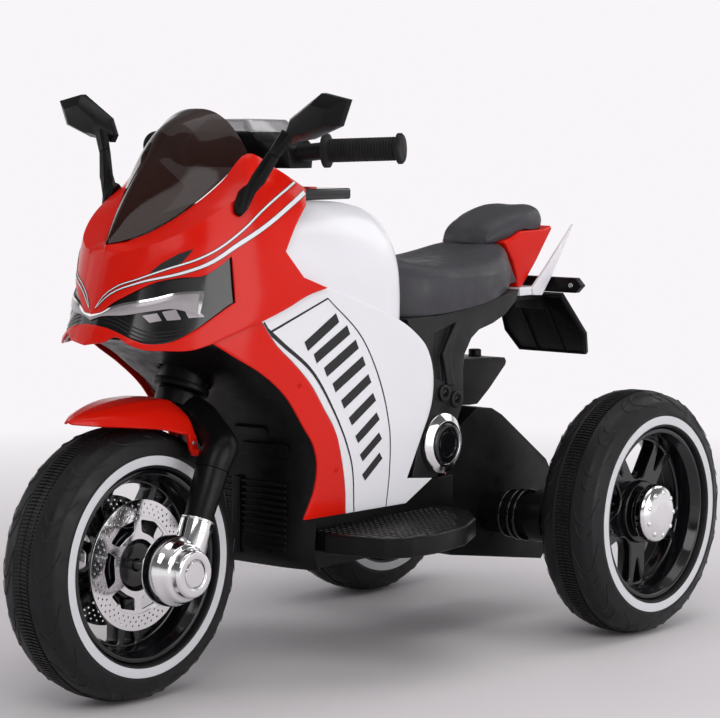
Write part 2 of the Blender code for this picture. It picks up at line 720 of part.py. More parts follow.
# Seat and hump: (y, half width share, bottom, crease, top) stations
SEAT_STATIONS = [
    (0.0465, 0.62, 0.4405, 0.478, 0.508), (0.070, 0.80, 0.4385, 0.488, 0.513),
    (0.110, 0.97, 0.4400, 0.489, 0.508), (0.160, 1.00, 0.4435, 0.488, 0.505),
    (0.210, 1.00, 0.4495, 0.488, 0.507), (0.255, 0.93, 0.4570, 0.490, 0.513),
    (0.290, 0.80, 0.4640, 0.494, 0.521), (0.313, 0.64, 0.4680, 0.498, 0.526),
    (0.332, 0.56, 0.4690, 0.484, 0.5015), (0.3435, 0.53, 0.4690, 0.472, 0.4775),
]
SEAT_SECTION = [(0.0, 0.0), (0.97, 0.0), (1.0, 0.55), (0.98, 1.0), (0.86, 1.62), (0.62, 1.95), (0.0, 2.0)]
HUMP_STATIONS = [
    (0.297, 0.038, 0.5236, 0.534), (0.305, 0.043, 0.5250, 0.545), (0.3165, 0.047, 0.5275, 0.552),
    (0.335, 0.051, 0.5322, 0.559), (0.353, 0.054, 0.5406, 0.565), (0.392, 0.053, 0.5410, 0.574),
    (0.412, 0.047, 0.5425, 0.572), (0.418, 0.040, 0.5450, 0.560),
]
HUMP_SECTION = [(0.0, 0.0), (0.96, 0.0), (1.0, 0.35), (0.90, 0.78), (0.70, 0.96), (0.0, 1.0)]


def mirrored_ring(half):
    """Close a right half section into a full one."""
    left = [Vector((-point.x, point.y, point.z)) for point in reversed(half) if point.x > 0.0001]
    return half + left


def make_seat():
    """Rider's seat with drawn-in sides and a dished top."""
    sections = []
    for y, share, low, crease, high in SEAT_STATIONS:
        half = []
        for across, up in SEAT_SECTION:
            if up <= 1.0:
                z = blend(low, crease, up)
            else:
                z = blend(crease, high, up - 1.0)
            half.append(on_body(across * share * SEAT_HALF_WIDTH, y, z))
        sections.append(mirrored_ring(half))
    loft("seat", sections, "seat_plastic", smooth_angle=50)
    sections = []
    for y, half_width, low, high in HUMP_STATIONS:
        half = [on_body(across * half_width, y, blend(low, high, up)) for across, up in HUMP_SECTION]
        sections.append(mirrored_ring(half))
    loft("seat_hump", sections, "seat_plastic", smooth_angle=50)


# Seat base: (y, z) outline of its side walls
SEAT_BASE = [
    (0.0515, 0.4375), (0.070, 0.4378), (0.110, 0.4393), (0.160, 0.4428), (0.210, 0.4488), (0.255, 0.4562),
    (0.290, 0.4632), (0.295, 0.4640), (0.288, 0.449), (0.263, 0.431),
    (0.237, 0.421), (0.206, 0.414), (0.188, 0.403), (0.175, 0.385), (0.171, 0.361), (0.172, 0.320),
    (0.145, 0.270), (0.117, 0.2250), (0.062, 0.2250), (0.078, 0.277), (0.092, 0.340), (0.072, 0.400),
]
SEAT_BASE_HALF_WIDTH = 0.097
SEAT_BASE_WALL = 0.011
SEAT_BASE_ROOF = 0.4265
SEAT_BASE_OPENING = (0.330, 0.200)
RECESS = [(0.109, 0.415), (0.150, 0.425), (0.124, 0.386), (0.131, 0.350), (0.113, 0.356), (0.106, 0.385)]
RECESS_DEPTH = 0.005
RING_CENTRE = (0.1215, 0.270)
RING_RADIUS = 0.040
RING_DEPTH = 0.013
RING_PROFILE = [
    (0.0, 0.99), (0.375, 0.99), (0.40, 0.92), (0.44, 0.92), (0.46, 1.0), (0.65, 0.90), (1.0, 0.45),
]


def make_seat_base():
    """Grey frame under the seat: two side walls with legs, joined by a roof."""
    base = side_plate("seat_base", body_outline(SEAT_BASE), 0.0, 2 * SEAT_BASE_HALF_WIDTH, "grey_plastic")
    inner = SEAT_BASE_HALF_WIDTH - SEAT_BASE_WALL
    rear, floor = SEAT_BASE_OPENING
    low, high = on_body(-inner, 0.0, floor), on_body(inner, rear, SEAT_BASE_ROOF)
    cut(base, box("seat_base_inside_tool", low, high, None))
    for side in (-1, 1):
        centre_x = side * SEAT_BASE_HALF_WIDTH
        outline = body_outline(RECESS)
        cut(base, side_plate("recess_tool_%d" % side, outline, centre_x, 2 * RECESS_DEPTH, None))


def make_pivot_ring(suffix, side):
    """Chrome ring cover on the side of a leg."""
    profile = [(RING_RADIUS * radius, RING_DEPTH * along) for radius, along in RING_PROFILE]
    profile += [(RING_RADIUS, 0.0), (0.0, 0.0)]
    centre = on_body(side * (SEAT_BASE_HALF_WIDTH + FIT), *RING_CENTRE)
    turned("pivot_ring_" + suffix, profile, "chrome", 32, centre, outward=side, closed=False)


# Tail: (y, z) outlines
TAIL_BOTTOM = 0.4620
TAIL_SIDE = [
    (0.3150, 0.5260), (0.334, 0.5310), (0.352, 0.5400), (0.408, 0.5405), (0.424, 0.546), (0.427, 0.541),
    (0.387, 0.493), (0.357, TAIL_BOTTOM), (0.3455, TAIL_BOTTOM), (0.3450, 0.4775), (0.3340, 0.5010),
]
TAIL_HALF_WIDTH = 0.056
WING_FIN = [(0.372, 0.4590), (0.376, 0.450), (0.396, 0.449), (0.418, 0.474), (0.470, 0.546), (0.404, 0.486)]
WING_HALF_WIDTH = 0.0615
WING_THICKNESS = 0.004
WING_BRIDGE = (0.3465, 0.395, 0.4504)
SIGNAL_BAR_Y = 0.4215
SIGNAL_BAR_Z = (0.452, 0.473)
SIGNAL_BAR_REACH = 0.110
PLATE_OUTLINE = [(0.058, 0.0), (0.072, 0.66), (0.060, 1.0), (-0.060, 1.0), (-0.072, 0.66), (-0.058, 0.0)]
PLATE_TOP = (0.447, 0.446)
PLATE_BOTTOM = (0.508, 0.357)
PLATE_THICKNESS = 0.006


def make_tail():
    """Red tail block, white wing, crossbar with pointed ends, and the plate holder under it."""
    tail = side_plate("tail_panel", body_outline(TAIL_SIDE), 0.0, 2 * TAIL_HALF_WIDTH, "red_gloss")
    bevel(tail, 0.002)
    fin_outline = body_outline(WING_FIN)
    fin_x = WING_HALF_WIDTH - WING_THICKNESS / 2
    wing = side_plate("tail_wing", fin_outline, fin_x, WING_THICKNESS, "white_gloss")
    join(wing, side_plate("right_fin_tool", fin_outline, -fin_x, WING_THICKNESS, None))
    bridge_front, bridge_rear, bridge_bottom = WING_BRIDGE
    bridge_low = on_body(-fin_x, bridge_front, bridge_bottom)
    bridge_high = on_body(fin_x, bridge_rear, TAIL_BOTTOM - FIT)
    join(wing, box("wing_bridge_tool", bridge_low, bridge_high, None))
    make_signal_bar()
    make_plate_holder()


def make_signal_bar():
    """Black crossbar with pointed ends under the tail."""
    low, high = SIGNAL_BAR_Z
    middle = (low + high) / 2
    shoulder = SIGNAL_BAR_REACH - (high - low) / 2
    outline = [
        (-SIGNAL_BAR_REACH, middle), (-shoulder, low), (shoulder, low), (SIGNAL_BAR_REACH, middle),
        (shoulder, high), (-shoulder, high),
    ]
    depth = 0.012
    sections = []
    for y in (SIGNAL_BAR_Y, SIGNAL_BAR_Y + depth):
        sections.append([on_body(x, y, z) for x, z in outline])
    loft("signal_bar", sections, "black_plastic")


def make_plate_holder():
    """Slanted plate with flanges and the arm that carries it."""
    top, bottom = Vector((0.0, *PLATE_TOP)), Vector((0.0, *PLATE_BOTTOM))
    down = bottom - top
    behind = Vector((0.0, -down.z, down.y)).normalized() * PLATE_THICKNESS
    sections = []
    for shift in (Vector(), behind):
        corners = [top + down * t + shift + Vector((x, 0, 0)) for x, t in PLATE_OUTLINE]
        sections.append([on_body(*corner) for corner in corners])
    plate = loft("plate_holder", sections, "black_plastic")
    arm = [
        (0.384, 0.4500), (0.395, 0.4485), (0.415, 0.4512), (0.436, 0.4512), (0.450, 0.4495), (0.462, 0.430),
        (0.452, 0.424), (0.440, 0.440), (0.384, 0.4400),
    ]
    join(plate, side_plate("plate_arm_tool", body_outline(arm), 0.0, 0.050, None))


# Rear housing and mudguard: (y, z) outlines
HOUSING = [
    (HOUSING_FRONT, 0.126), (HOUSING_FRONT, TRAY_TOP), (0.163, 0.262), (0.188, 0.286), (0.223, 0.306),
    (0.257, 0.303), (0.280, 0.292), (0.384, 0.220), (0.405, 0.190), (0.410, 0.122), (0.374, 0.080),
    (0.168, 0.112),
]
HUGGER = [
    (0.216, 0.3030), (0.224, 0.3065), (0.257, 0.3035), (0.275, 0.3035), (0.302, 0.3225), (0.3385, 0.3530),
    (0.3405, 0.3585), (0.337, 0.3635), (0.300, 0.366), (0.235, 0.368), (0.222, 0.352),
]
HUGGER_HALF_WIDTH = 0.042
MOTOR_OFFSET = (0.112, 0.002)
MOTOR_RADIUS = 0.029
HUGGER_KNOB = (0.322, 0.358, 0.3745)
HUGGER_KNOB_RADIUS = 0.009
GEARBOX_THICKNESS = 0.026
GEARBOX_CLEARANCE = 0.004
GEARBOX_INNER = REAR_TRACK / 2 - TYRE_WIDTH / 2 - GEARBOX_CLEARANCE - GEARBOX_THICKNESS
GEARBOX_BOSS_RADIUS = 0.021


def make_rear_housing():
    """Black housing between the rear wheels, its mudguard and the axle through it."""
    housing = side_plate("rear_housing", body_outline(HOUSING), 0.0, 2 * HOUSING_HALF_WIDTH, "black_plastic")
    cut(housing, rod(
        "housing_bore_tool", REAR_AXLE + Vector((-0.12, 0, 0)), REAR_AXLE + Vector((0.12, 0, 0)),
        AXLE_RADIUS + FIT, None, sides=16,
    ))
    outline = body_outline([(y, z + FIT) for y, z in HUGGER])
    hugger = side_plate("rear_mudguard", outline, 0.0, 2 * HUGGER_HALF_WIDTH, "black_plastic")
    knob_y, knob_low, knob_high = HUGGER_KNOB
    start, end = on_body(0.0, knob_y, knob_low), on_body(0.0, knob_y, knob_high)
    join(hugger, rod("knob_tool", start, end, HUGGER_KNOB_RADIUS, None, sides=12))
    reach = REAR_TRACK / 2 + HUB_RADIUS + 0.009
    start, end = REAR_AXLE - Vector((reach, 0, 0)), REAR_AXLE + Vector((reach, 0, 0))
    rod("rear_axle", start, end, AXLE_RADIUS, "steel", 16)


def make_gearbox(suffix, side):
    """Drive unit of one rear wheel: a flat gear case with its motor."""
    motor_y = REAR_AXLE.y - MOTOR_OFFSET[0]
    motor_z = REAR_AXLE.z - MOTOR_OFFSET[1]
    end_radius, case_radius = MOTOR_RADIUS + 0.006, 0.038
    outline = []
    for k in range(7):
        angle = math.radians(90 + 180 * k / 6)
        outline.append((motor_y + end_radius * math.cos(angle), motor_z + end_radius * math.sin(angle)))
    for k in range(7):
        angle = math.radians(-90 + 180 * k / 6)
        across, up = case_radius * math.cos(angle), case_radius * math.sin(angle)
        outline.append((REAR_AXLE.y + across, REAR_AXLE.z + up))
    centre_x = side * (GEARBOX_INNER + GEARBOX_THICKNESS / 2)
    case = side_plate("gearbox_" + suffix, outline, centre_x, GEARBOX_THICKNESS, "black_plastic")
    motor_start = Vector((side * (HOUSING_HALF_WIDTH + FIT), motor_y, motor_z))
    motor_end = Vector((side * (GEARBOX_INNER + 0.004), motor_y, motor_z))
    join(case, rod("motor_tool_" + suffix, motor_start, motor_end, MOTOR_RADIUS, None, sides=24))
    boss_start = REAR_AXLE + Vector((side * (GEARBOX_INNER + 0.01), 0, 0))
    boss_end = REAR_AXLE + Vector((side * (REAR_TRACK / 2 - HUB_RADIUS - RUNNING_FIT), 0, 0))
    join(case, rod("boss_tool_" + suffix, boss_start, boss_end, GEARBOX_BOSS_RADIUS, None, sides=20))
    bore_start = REAR_AXLE + Vector((side * 0.05, 0, 0))
    bore_end = REAR_AXLE + Vector((side * 0.3, 0, 0))
    cut(case, rod("gearbox_bore_tool_" + suffix, bore_start, bore_end, AXLE_RADIUS + FIT, None, sides=16))


# Lead behind the left leg: (y, z) points from the tray's edge up to the leg's slanted edge
LEAD_RADIUS = 0.0018
LEAD_X = 0.0935
LEAD_POINTS = [
    (0.1360, 0.2262), (0.1375, 0.2330), (0.1470, 0.2450), (0.1590, 0.2600), (0.1660, 0.2720),
    (0.1675, 0.2805), (0.1640, 0.2856), (0.1566, 0.2896),
]


def make_motor_lead():
    """Red lead held between the tray's edge and the left leg."""
    points = [on_body(LEAD_X, y, z) for y, z in LEAD_POINTS]
    tube("motor_lead", spread(points, 16), LEAD_RADIUS, "wire_red", resolution=1)


# Footboards: plan outline of the left one as (x, y), inner edge first
FOOTBOARD_INNER = TRAY_HALF_WIDTH + FIT
FOOTBOARD_PLAN = [
    (0.0, -0.1390), (0.2365, -0.1390), (0.2365, -0.150), (0.81, -0.127), (0.97, -0.099), (1.0, -0.057),
    (0.927, 0.014), (0.70, 0.075), (0.36, 0.120), (0.0, 0.128),
]
PEDAL_HALF_WIDTH = 0.024
PEDAL_CENTRE_X = 0.163
PEDAL_HINGE = (0.030, 0.0055)
PEDAL_TIP = (-0.066, 0.0185)
PEDAL_THICKNESS = 0.006


def make_footboard(suffix, side):
    """Foot rest of one side."""
    width = FOOTBOARD_HALF_SPAN - FOOTBOARD_INNER
    outline = [(side * (FOOTBOARD_INNER + share * width), y) for share, y in FOOTBOARD_PLAN]
    sections = []
    for z in (FOOTBOARD_TOP - FOOTBOARD_THICKNESS, FOOTBOARD_TOP):
        sections.append([on_body(x, y, z) for x, y in outline])
    board = loft("footboard_" + suffix, sections, "black_plastic")
    bevel(board, 0.002)


def make_foot_pedal():
    """Pedal on the right foot rest, hinged at its rear edge."""
    hinge_y, hinge_rise = PEDAL_HINGE
    tip_y, tip_rise = PEDAL_TIP
    top = FOOTBOARD_TOP
    outline = [
        (hinge_y + 0.004, top + hinge_rise - 0.005), (hinge_y + 0.004, top + hinge_rise + 0.002),
        (tip_y, top + tip_rise), (tip_y, top + tip_rise - PEDAL_THICKNESS),
        (hinge_y - 0.012, top + hinge_rise - 0.0035),
    ]
    outline = body_outline(outline)
    pedal = side_plate("foot_pedal", outline, -PEDAL_CENTRE_X, 2 * PEDAL_HALF_WIDTH, "grey_plastic")
    set_origin(pedal, on_body(-PEDAL_CENTRE_X, hinge_y, top + hinge_rise - 0.002))


# Fork
CROWN_LEG_TOP = 0.130
CROWN_KNEE = 0.152
CROWN_SETBACK = 0.012
LEG_BOTTOM = 0.036
SLEEVE_TOP = 0.068
SLEEVE_WALL = 0.0022
HUB_COVER_START = 0.070
HUB_COVER_DEPTH = 0.051
HUB_COVER_RADIUS = 0.0425
HUB_FACE_RADIUS = 0.0285
DISC_FACE = 0.0235
DISC_THICKNESS = 0.003


def make_fork():
    """Crown arch, steering column and front axle."""
    half = FORK_HALF_SPACING
    arch = [
        (half, CROWN_LEG_TOP, 0.0), (half, CROWN_LEG_TOP + 0.006, 0.0), (half, CROWN_KNEE, 0.3),
        (half * 0.965, CROWN_KNEE + 0.009, 0.7),
        (half * 0.39, CROWN_HEIGHT - 0.0055, 1.0), (half * 0.20, CROWN_HEIGHT - 0.0005, 0.6),
        (0.0, CROWN_HEIGHT, 0.3),
    ]
    path = [steering_point(along, -share * CROWN_SETBACK, x) for x, along, share in arch]
    path += [steering_point(along, -share * CROWN_SETBACK, -x) for x, along, share in reversed(arch[:-1])]
    crown = tube("fork_crown", path, CROWN_RADIUS, "black_plastic", resolution=3)
    start, end = steering_point(CROWN_HEIGHT), steering_point(COLUMN_TOP)
    join(crown, rod("column_tool", start, end, COLUMN_RADIUS, None))
    set_origin(crown, steering_point(CROWN_HEIGHT))
    reach = HUB_COVER_START + 0.020
    start, end = FRONT_AXLE - Vector((reach, 0, 0)), FRONT_AXLE + Vector((reach, 0, 0))
    axle = rod("front_axle", start, end, AXLE_RADIUS, "steel", sides=16)
    set_origin(axle, FRONT_AXLE)


def make_fork_leg(suffix, side):
    """Lower leg and the chrome hub cover that holds it to the axle."""
    x = side * FORK_HALF_SPACING
    leg = rod(
        "fork_leg_" + suffix, steering_point(LEG_BOTTOM, 0.0, x), steering_point(SLEEVE_TOP + 0.004, 0.0, x),
        FORK_LEG_RADIUS, "black_plastic",
    )
    join(leg, rod(
        "leg_cone_tool_" + suffix, steering_point(SLEEVE_TOP + 0.001, 0.0, x),
        steering_point(CROWN_LEG_TOP - FIT, 0.0, x), FORK_LEG_RADIUS - 0.0002, None,
        end_radius=FORK_LEG_TOP_RADIUS,
    ))
    set_origin(leg, steering_point(CROWN_HEIGHT))
    depth = HUB_COVER_DEPTH
    profile = [
        (0.0, depth), (HUB_FACE_RADIUS - 0.002, depth), (HUB_FACE_RADIUS, depth - 0.003),
        (HUB_FACE_RADIUS + 0.001, depth - 0.012), (0.034, depth - 0.014), (0.037, depth - 0.022),
        (0.041, depth - 0.028), (HUB_COVER_RADIUS, depth - 0.036), (HUB_COVER_RADIUS, 0.004),
        (HUB_COVER_RADIUS - 0.003, 0.0), (0.0, 0.0),
    ]
    centre = FRONT_AXLE + Vector((side * HUB_COVER_START, 0, 0))
    cover = turned("hub_cover_" + suffix, profile, "chrome", 28, centre, outward=side, closed=False)
    join(cover, rod(
        "sleeve_tool_" + suffix, steering_point(0.020, 0.0, x), steering_point(SLEEVE_TOP, 0.0, x),
        FORK_LEG_RADIUS + SLEEVE_WALL, None, sides=20,
    ))
    cut(cover, rod(
        "leg_bore_tool_" + suffix, steering_point(LEG_BOTTOM - FIT, 0.0, x), steering_point(0.12, 0.0, x),
        FORK_LEG_RADIUS + FIT, None, sides=20,
    ), rod(
        "axle_bore_tool_" + suffix, FRONT_AXLE + Vector((side * 0.05, 0, 0)),
        FRONT_AXLE + Vector((side * (HUB_COVER_START + 0.020 + FIT), 0, 0)), AXLE_RADIUS + FIT, None,
        sides=16,
    ))


# Front mudguard: (y, top height, top half width, bottom height, bottom half width) stations
FENDER_STATIONS = [
    (-0.4550, 0.3435, 0.003, 0.3400, 0.006), (-0.430, 0.3520, 0.014, 0.3375, 0.030),
    (-0.395, 0.3595, 0.024, 0.3345, 0.049), (-0.350, 0.3625, 0.029, 0.3280, 0.056),
    (-0.318, 0.3600, 0.030, 0.3200, 0.057), (-0.300, 0.3500, 0.030, 0.3165, 0.057),
]
FENDER_TAB = [(-0.3155, 0.3205), (-0.3025, 0.3190), (-0.2985, 0.3060), (-0.3010, 0.2950), (-0.3085, 0.2970)]
FENDER_TAB_X = (0.0535, 0.0600)
FENDER_BOSS = (-0.3035, 0.2965)
FENDER_BOSS_RADIUS = 0.0045


def make_fender():
    """Red mudguard over the front wheel with a fixing tab on each side."""
    rows = []
    for y, high, top_half, low, bottom_half in FENDER_STATIONS:
        points = [
            (0.0, high), (top_half, high - 0.0015),
            (blend(top_half, bottom_half, 0.55), blend(high, low, 0.38)), (bottom_half, low),
        ]
        rows.append([on_steering(x, y, z) for x, z in points])
    fender = skin("front_fender", rows, "red_gloss", (0.0, 0.0, 1.0), mirrored=True)
    for side in (-1, 1):
        outline = steering_outline(FENDER_TAB)
        low, high = FENDER_TAB_X
        centre_x = side * (low + high) / 2
        join(fender, side_plate("fender_tab_tool_%d" % side, outline, centre_x, high - low, None))
        reach = FORK_HALF_SPACING - CROWN_RADIUS + FIT / 2
        start = on_steering(side * (low + 0.001), *FENDER_BOSS)
        end = on_steering(side * reach, *FENDER_BOSS)
        join(fender, rod("fender_boss_tool_%d" % side, start, end, FENDER_BOSS_RADIUS, None, sides=12))


# Handlebar: points of its left half and the grip's line
BAR_PATH = [(0.0, -0.1655, 0.6445), (0.045, -0.1640, 0.6465), (0.085, -0.1500, 0.6515)]
GRIP_START = (0.118, -0.1360, 0.6555)
GRIP_TURN = math.radians(23.5)
GRIP_LIFT = 0.035
COVER_SECTIONS = [
    (0.6340, 0.092, -0.182, -0.116), (0.6600, 0.090, -0.190, -0.110), (0.6780, 0.066, -0.190, -0.106),
    (0.6940, 0.046, -0.183, -0.112),
]
COVER_WALL = 0.003


def grip_direction(side):
    """Unit vector along a grip, outwards."""
    return Vector((side * math.cos(GRIP_TURN), math.sin(GRIP_TURN), GRIP_LIFT)).normalized()


def make_handlebar():
    """Handlebar tube and the cover over its middle."""
    start = on_steering(*GRIP_START)
    end = start + grip_direction(1) * (GRIP_LENGTH - 0.006)
    left = [on_steering(*point) for point in BAR_PATH] + [start, end]
    path = [Vector((-p.x, p.y, p.z)) for p in reversed(left[1:])] + left
    bar = tube("handlebar", path, BAR_RADIUS, "steel", resolution=3)
    set_origin(bar, steering_point(CROWN_HEIGHT))
    rows = []
    for z, half, front, rear in COVER_SECTIONS:
        rows.append([
            on_steering(0.0, front, z), on_steering(half * 0.7, front, z),
            on_steering(half, blend(front, rear, 0.2), z), on_steering(half, blend(front, rear, 0.8), z),
            on_steering(half * 0.7, rear, z), on_steering(0.0, rear, z),
        ])
    top = [Vector((p.x * 0.4, blend(p.y, rows[-1][2].y, 0.4), p.z + 0.001)) for p in rows[-1]]
    middle = sum((p.y for p in rows[-1]), 0.0) / 6
    last = [Vector((0.0, middle, p.z)) for p in top]
    shape = bmesh.new()
    grid = [[shape.verts.new(p) for p in row] for row in rows + [top]]
    for r in range(len(grid) - 1):
        for c in range(5):
            shape.faces.new((grid[r][c], grid[r][c + 1], grid[r + 1][c + 1], grid[r + 1][c]))
    shape.faces.new(grid[-1])
    bmesh.ops.recalc_face_normals(shape, faces=shape.faces)
    shape.normal_update()
    if max(shape.faces, key=lambda face: face.calc_center_median().z).normal.z < 0:
        bmesh.ops.reverse_faces(shape, faces=shape.faces)
    cover = from_bmesh("handlebar_cover", shape, "silver_paint")
    mirror = cover.modifiers.new("other_side", "MIRROR")
    mirror.merge_threshold = 0.00005
    wall = cover.modifiers.new("wall", "SOLIDIFY")
    wall.thickness = COVER_WALL
    wall.offset = -1.0
    cut(cover, tube("bar_notch_tool", path, BAR_RADIUS + 2 * FIT, None, resolution=3))
    set_origin(cover, steering_point(CROWN_HEIGHT))


def make_grip(suffix, side):
    """Rubber grip with a flange at each end."""
    direction = grip_direction(side)
    start = on_steering(side * GRIP_START[0], *GRIP_START[1:])
    profile = [
        (0.0, GRIP_LENGTH), (0.017, GRIP_LENGTH), (0.019, GRIP_LENGTH - 0.002), (0.019, GRIP_LENGTH - 0.006),
        (GRIP_RADIUS, GRIP_LENGTH - 0.008), (GRIP_RADIUS, 0.008), (0.021, 0.006), (0.021, 0.0),
        (BAR_RADIUS + FIT, 0.0), (BAR_RADIUS + FIT, GRIP_LENGTH - 0.005), (0.0, GRIP_LENGTH - 0.005),
    ]
    grip = turned("grip_" + suffix, profile, "grip_rubber", 20, start, closed=False)
    grip.rotation_mode = "QUATERNION"
    grip.rotation_quaternion = direction.to_track_quat("Z", "Y")


# Mirrors: points of the left one
STALK_FOOT_Y = -0.2740
STALK_FOOT_Z = 0.5960
STALK_COLLAR = (0.1418, -0.2546, 0.6518)
MIRROR_FACE = [
    (0.1490, 0.6640), (0.1640, 0.6680), (0.1850, 0.6705), (0.2290, 0.6860), (0.2420, 0.7165),
    (0.2022, 0.7245), (0.1520, 0.6940), (0.1430, 0.6730),
]
MIRROR_Y = -0.229
MIRROR_LEAN = 0.0
MIRROR_DEPTH = 0.022


def foot_frame():
    """Point on the cowl under the mirror's foot, and the outward direction there."""
    y, z, step = STALK_FOOT_Y, STALK_FOOT_Z, 0.004
    point = Vector((half_width_at(y, z), y, z))
    along_y = Vector((half_width_at(y + step, z), y + step, z)) - point
    along_z = Vector((half_width_at(y, z + step), y, z + step)) - point
    return on_body(*point), along_y.cross(along_z).normalized()


def ring_about(centre, across, along, half_across, half_along):
    """Eight-sided flat ring with cut corners."""
    corners = [(1, 0.5), (0.5, 1), (-0.5, 1), (-1, 0.5), (-1, -0.5), (-0.5, -1), (0.5, -1), (1, -0.5)]
    return [centre + across * (a * half_across) + along * (b * half_along) for a, b in corners]


def make_mirror(suffix, side):
    """Stalk on the cowl and the swivelling mirror head."""
    point, outward = foot_frame()
    collar = on_body(*STALK_COLLAR)
    stalk = (collar - point).normalized()
    along = (stalk - outward * stalk.dot(outward)).normalized()
    across = outward.cross(along).normalized()
    head_across = stalk.cross(Vector((0, 1, 0))).normalized()
    head_along = head_across.cross(stalk).normalized()
    base = point + outward * FIT
    sections = [
        ring_about(base, across, along, 0.0085, 0.0190),
        ring_about(base + outward * 0.006 + along * 0.001, across, along, 0.0085, 0.0180),
        ring_about(point.lerp(collar, 0.45) + outward * 0.005, head_across, head_along, 0.0085, 0.0075),
        ring_about(collar, head_across, head_along, 0.0075, 0.0060),
    ]
    if side < 0:
        sections = [[Vector((-p.x, p.y, p.z)) for p in section] for section in sections]
    loft("mirror_stalk_" + suffix, sections, "black_plastic")
    neck_start = collar + stalk * RUNNING_FIT
    neck = [
        ring_about(neck_start, head_across, head_along, 0.0072, 0.0058),
        ring_about(neck_start + stalk * 0.030, head_across, head_along, 0.0085, 0.0065),
    ]
    centre_x = sum(x for x, z in MIRROR_FACE) / len(MIRROR_FACE)
    centre_z = sum(z for x, z in MIRROR_FACE) / len(MIRROR_FACE)
    head = []
    for depth, share in ((0.0, 1.0), (0.4, 0.99), (1.0, 0.62)):
        ring = []
        for x, z in MIRROR_FACE:
            px, pz = blend(centre_x, x, share), blend(centre_z, z, share)
            lean = MIRROR_LEAN * (px - MIRROR_FACE[0][0]) / 0.1
            ring.append(on_body(px, MIRROR_Y + lean - depth * MIRROR_DEPTH, pz))
        head.append(ring)
    if side < 0:
        neck = [[Vector((-p.x, p.y, p.z)) for p in section] for section in neck]
        head = [[Vector((-p.x, p.y, p.z)) for p in section] for section in head]
        collar = Vector((-collar.x, collar.y, collar.z))
    body = loft("mirror_head_" + suffix, head, "black_plastic")
    join(body, loft("mirror_neck_tool_" + suffix, neck, None))
    set_origin(body, collar)


def rim_profile(web_half, hub_half, shoulder):
    """Closed (radius, along) profile of a rim: barrel, web and hub in one."""
    half = RIM_WIDTH / 2
    bore = AXLE_RADIUS + FIT
    upper = [
        (bore, hub_half), (HUB_RADIUS - 0.002, hub_half), (HUB_RADIUS, shoulder),
        (HUB_RADIUS + 0.010, shoulder), (HUB_RADIUS + 0.012, web_half), (RIM_INNER_RADIUS - 0.004, web_half),
        (RIM_INNER_RADIUS, half * 0.65), (RIM_RADIUS - 0.004, half), (RIM_RADIUS, half),
    ]
    return upper + [(radius, -along) for radius, along in reversed(upper)]


def cut_windows(rim, name, centre, depth):
    """Cut wide windows between the spokes and a small one inside each fork."""
    inner, outer = HUB_RADIUS + 0.016, RIM_INNER_RADIUS - 0.006
    for k in range(SPOKE_PAIRS):
        for kind, start, end, low, high in (
            ("wide", -24.0, 24.0, inner, outer), ("small", 30.0, 42.0, 0.5 * (inner + outer), outer),
        ):
            turn = 360.0 / SPOKE_PAIRS * k
            outline = []
            low_span = (end - start) * 0.55 if kind == "wide" else 2.0
            middle = (start + end) / 2
            for radius, angle in (
                (low, middle - low_span / 2), (high, start), (high * 1.02, middle), (high, end),
                (low, middle + low_span / 2),
            ):
                bearing = math.radians(90.0 + turn + angle)
                outline.append((centre.y + radius * math.cos(bearing), centre.z + radius * math.sin(bearing)))
            cut(rim, side_plate("%s_%s_tool_%d" % (name, kind, k), outline, centre.x, depth, None))


def make_wheel(label, centre, web_half, hub_half, shoulder):
    """Tyre and rim on one axle point."""
    half = TYRE_WIDTH / 2
    bore = RIM_RADIUS + FIT
    band = TREAD_BAND_WIDTH / 2
    upper = [
        (bore, RIM_WIDTH / 2), (bore + 0.003, half - 0.0005), (bore + 0.020, half),
        (TYRE_RADIUS - 0.0125, half * 0.89), (TYRE_RADIUS - 0.0040, half * 0.66), (TYRE_RADIUS, band),
    ]
    profile = upper + [(radius, -along) for radius, along in reversed(upper)]
    turned("tyre_" + label, profile, "tyre_black", WHEEL_STEPS, centre)
    profile = rim_profile(web_half, hub_half, shoulder)
    rim = turned("rim_" + label, profile, "black_plastic", WHEEL_STEPS, centre)
    cut_windows(rim, label, centre, 2 * web_half + 0.02)


def make_brake_disc(suffix, side):
    """Bright disc on the shoulder of the front hub."""
    inner = HUB_RADIUS + 0.0008
    profile = [
        (inner, DISC_THICKNESS), (BRAKE_DISC_RADIUS, DISC_THICKNESS), (BRAKE_DISC_RADIUS, 0.0), (inner, 0.0),
    ]
    centre = FRONT_AXLE + Vector((side * (DISC_FACE + FIT), 0, 0))
    turned("brake_disc_" + suffix, profile, "chrome", WHEEL_STEPS, centre, outward=side)


def make_hub_cap(suffix, side):
    """Chrome cap on the outside of a rear hub."""
    start = REAR_TRACK / 2 + HUB_RADIUS + FIT
    profile = [
        (0.0, 0.0205), (0.028, 0.0185), (0.037, 0.0145), (0.040, 0.010), (0.040, 0.0), (0.009, 0.0),
        (0.009, 0.011), (0.0, 0.011),
    ]
    centre = REAR_AXLE + Vector((side * start, 0, 0))
    turned("hub_cap_" + suffix, profile, "chrome", WHEEL_STEPS, centre, outward=side, closed=False)


def make_wheels():
    """The front wheel with its discs and both rear wheels with their caps."""
    make_wheel("front", FRONT_AXLE, 0.012, 0.034, DISC_FACE)
    for suffix, side in (("left", 1), ("right", -1)):
        make_brake_disc(suffix, side)
        centre = REAR_AXLE + Vector((side * REAR_TRACK / 2, 0, 0))
        make_wheel("rear_" + suffix, centre, 0.012, HUB_RADIUS, 0.020)
        make_hub_cap(suffix, side)


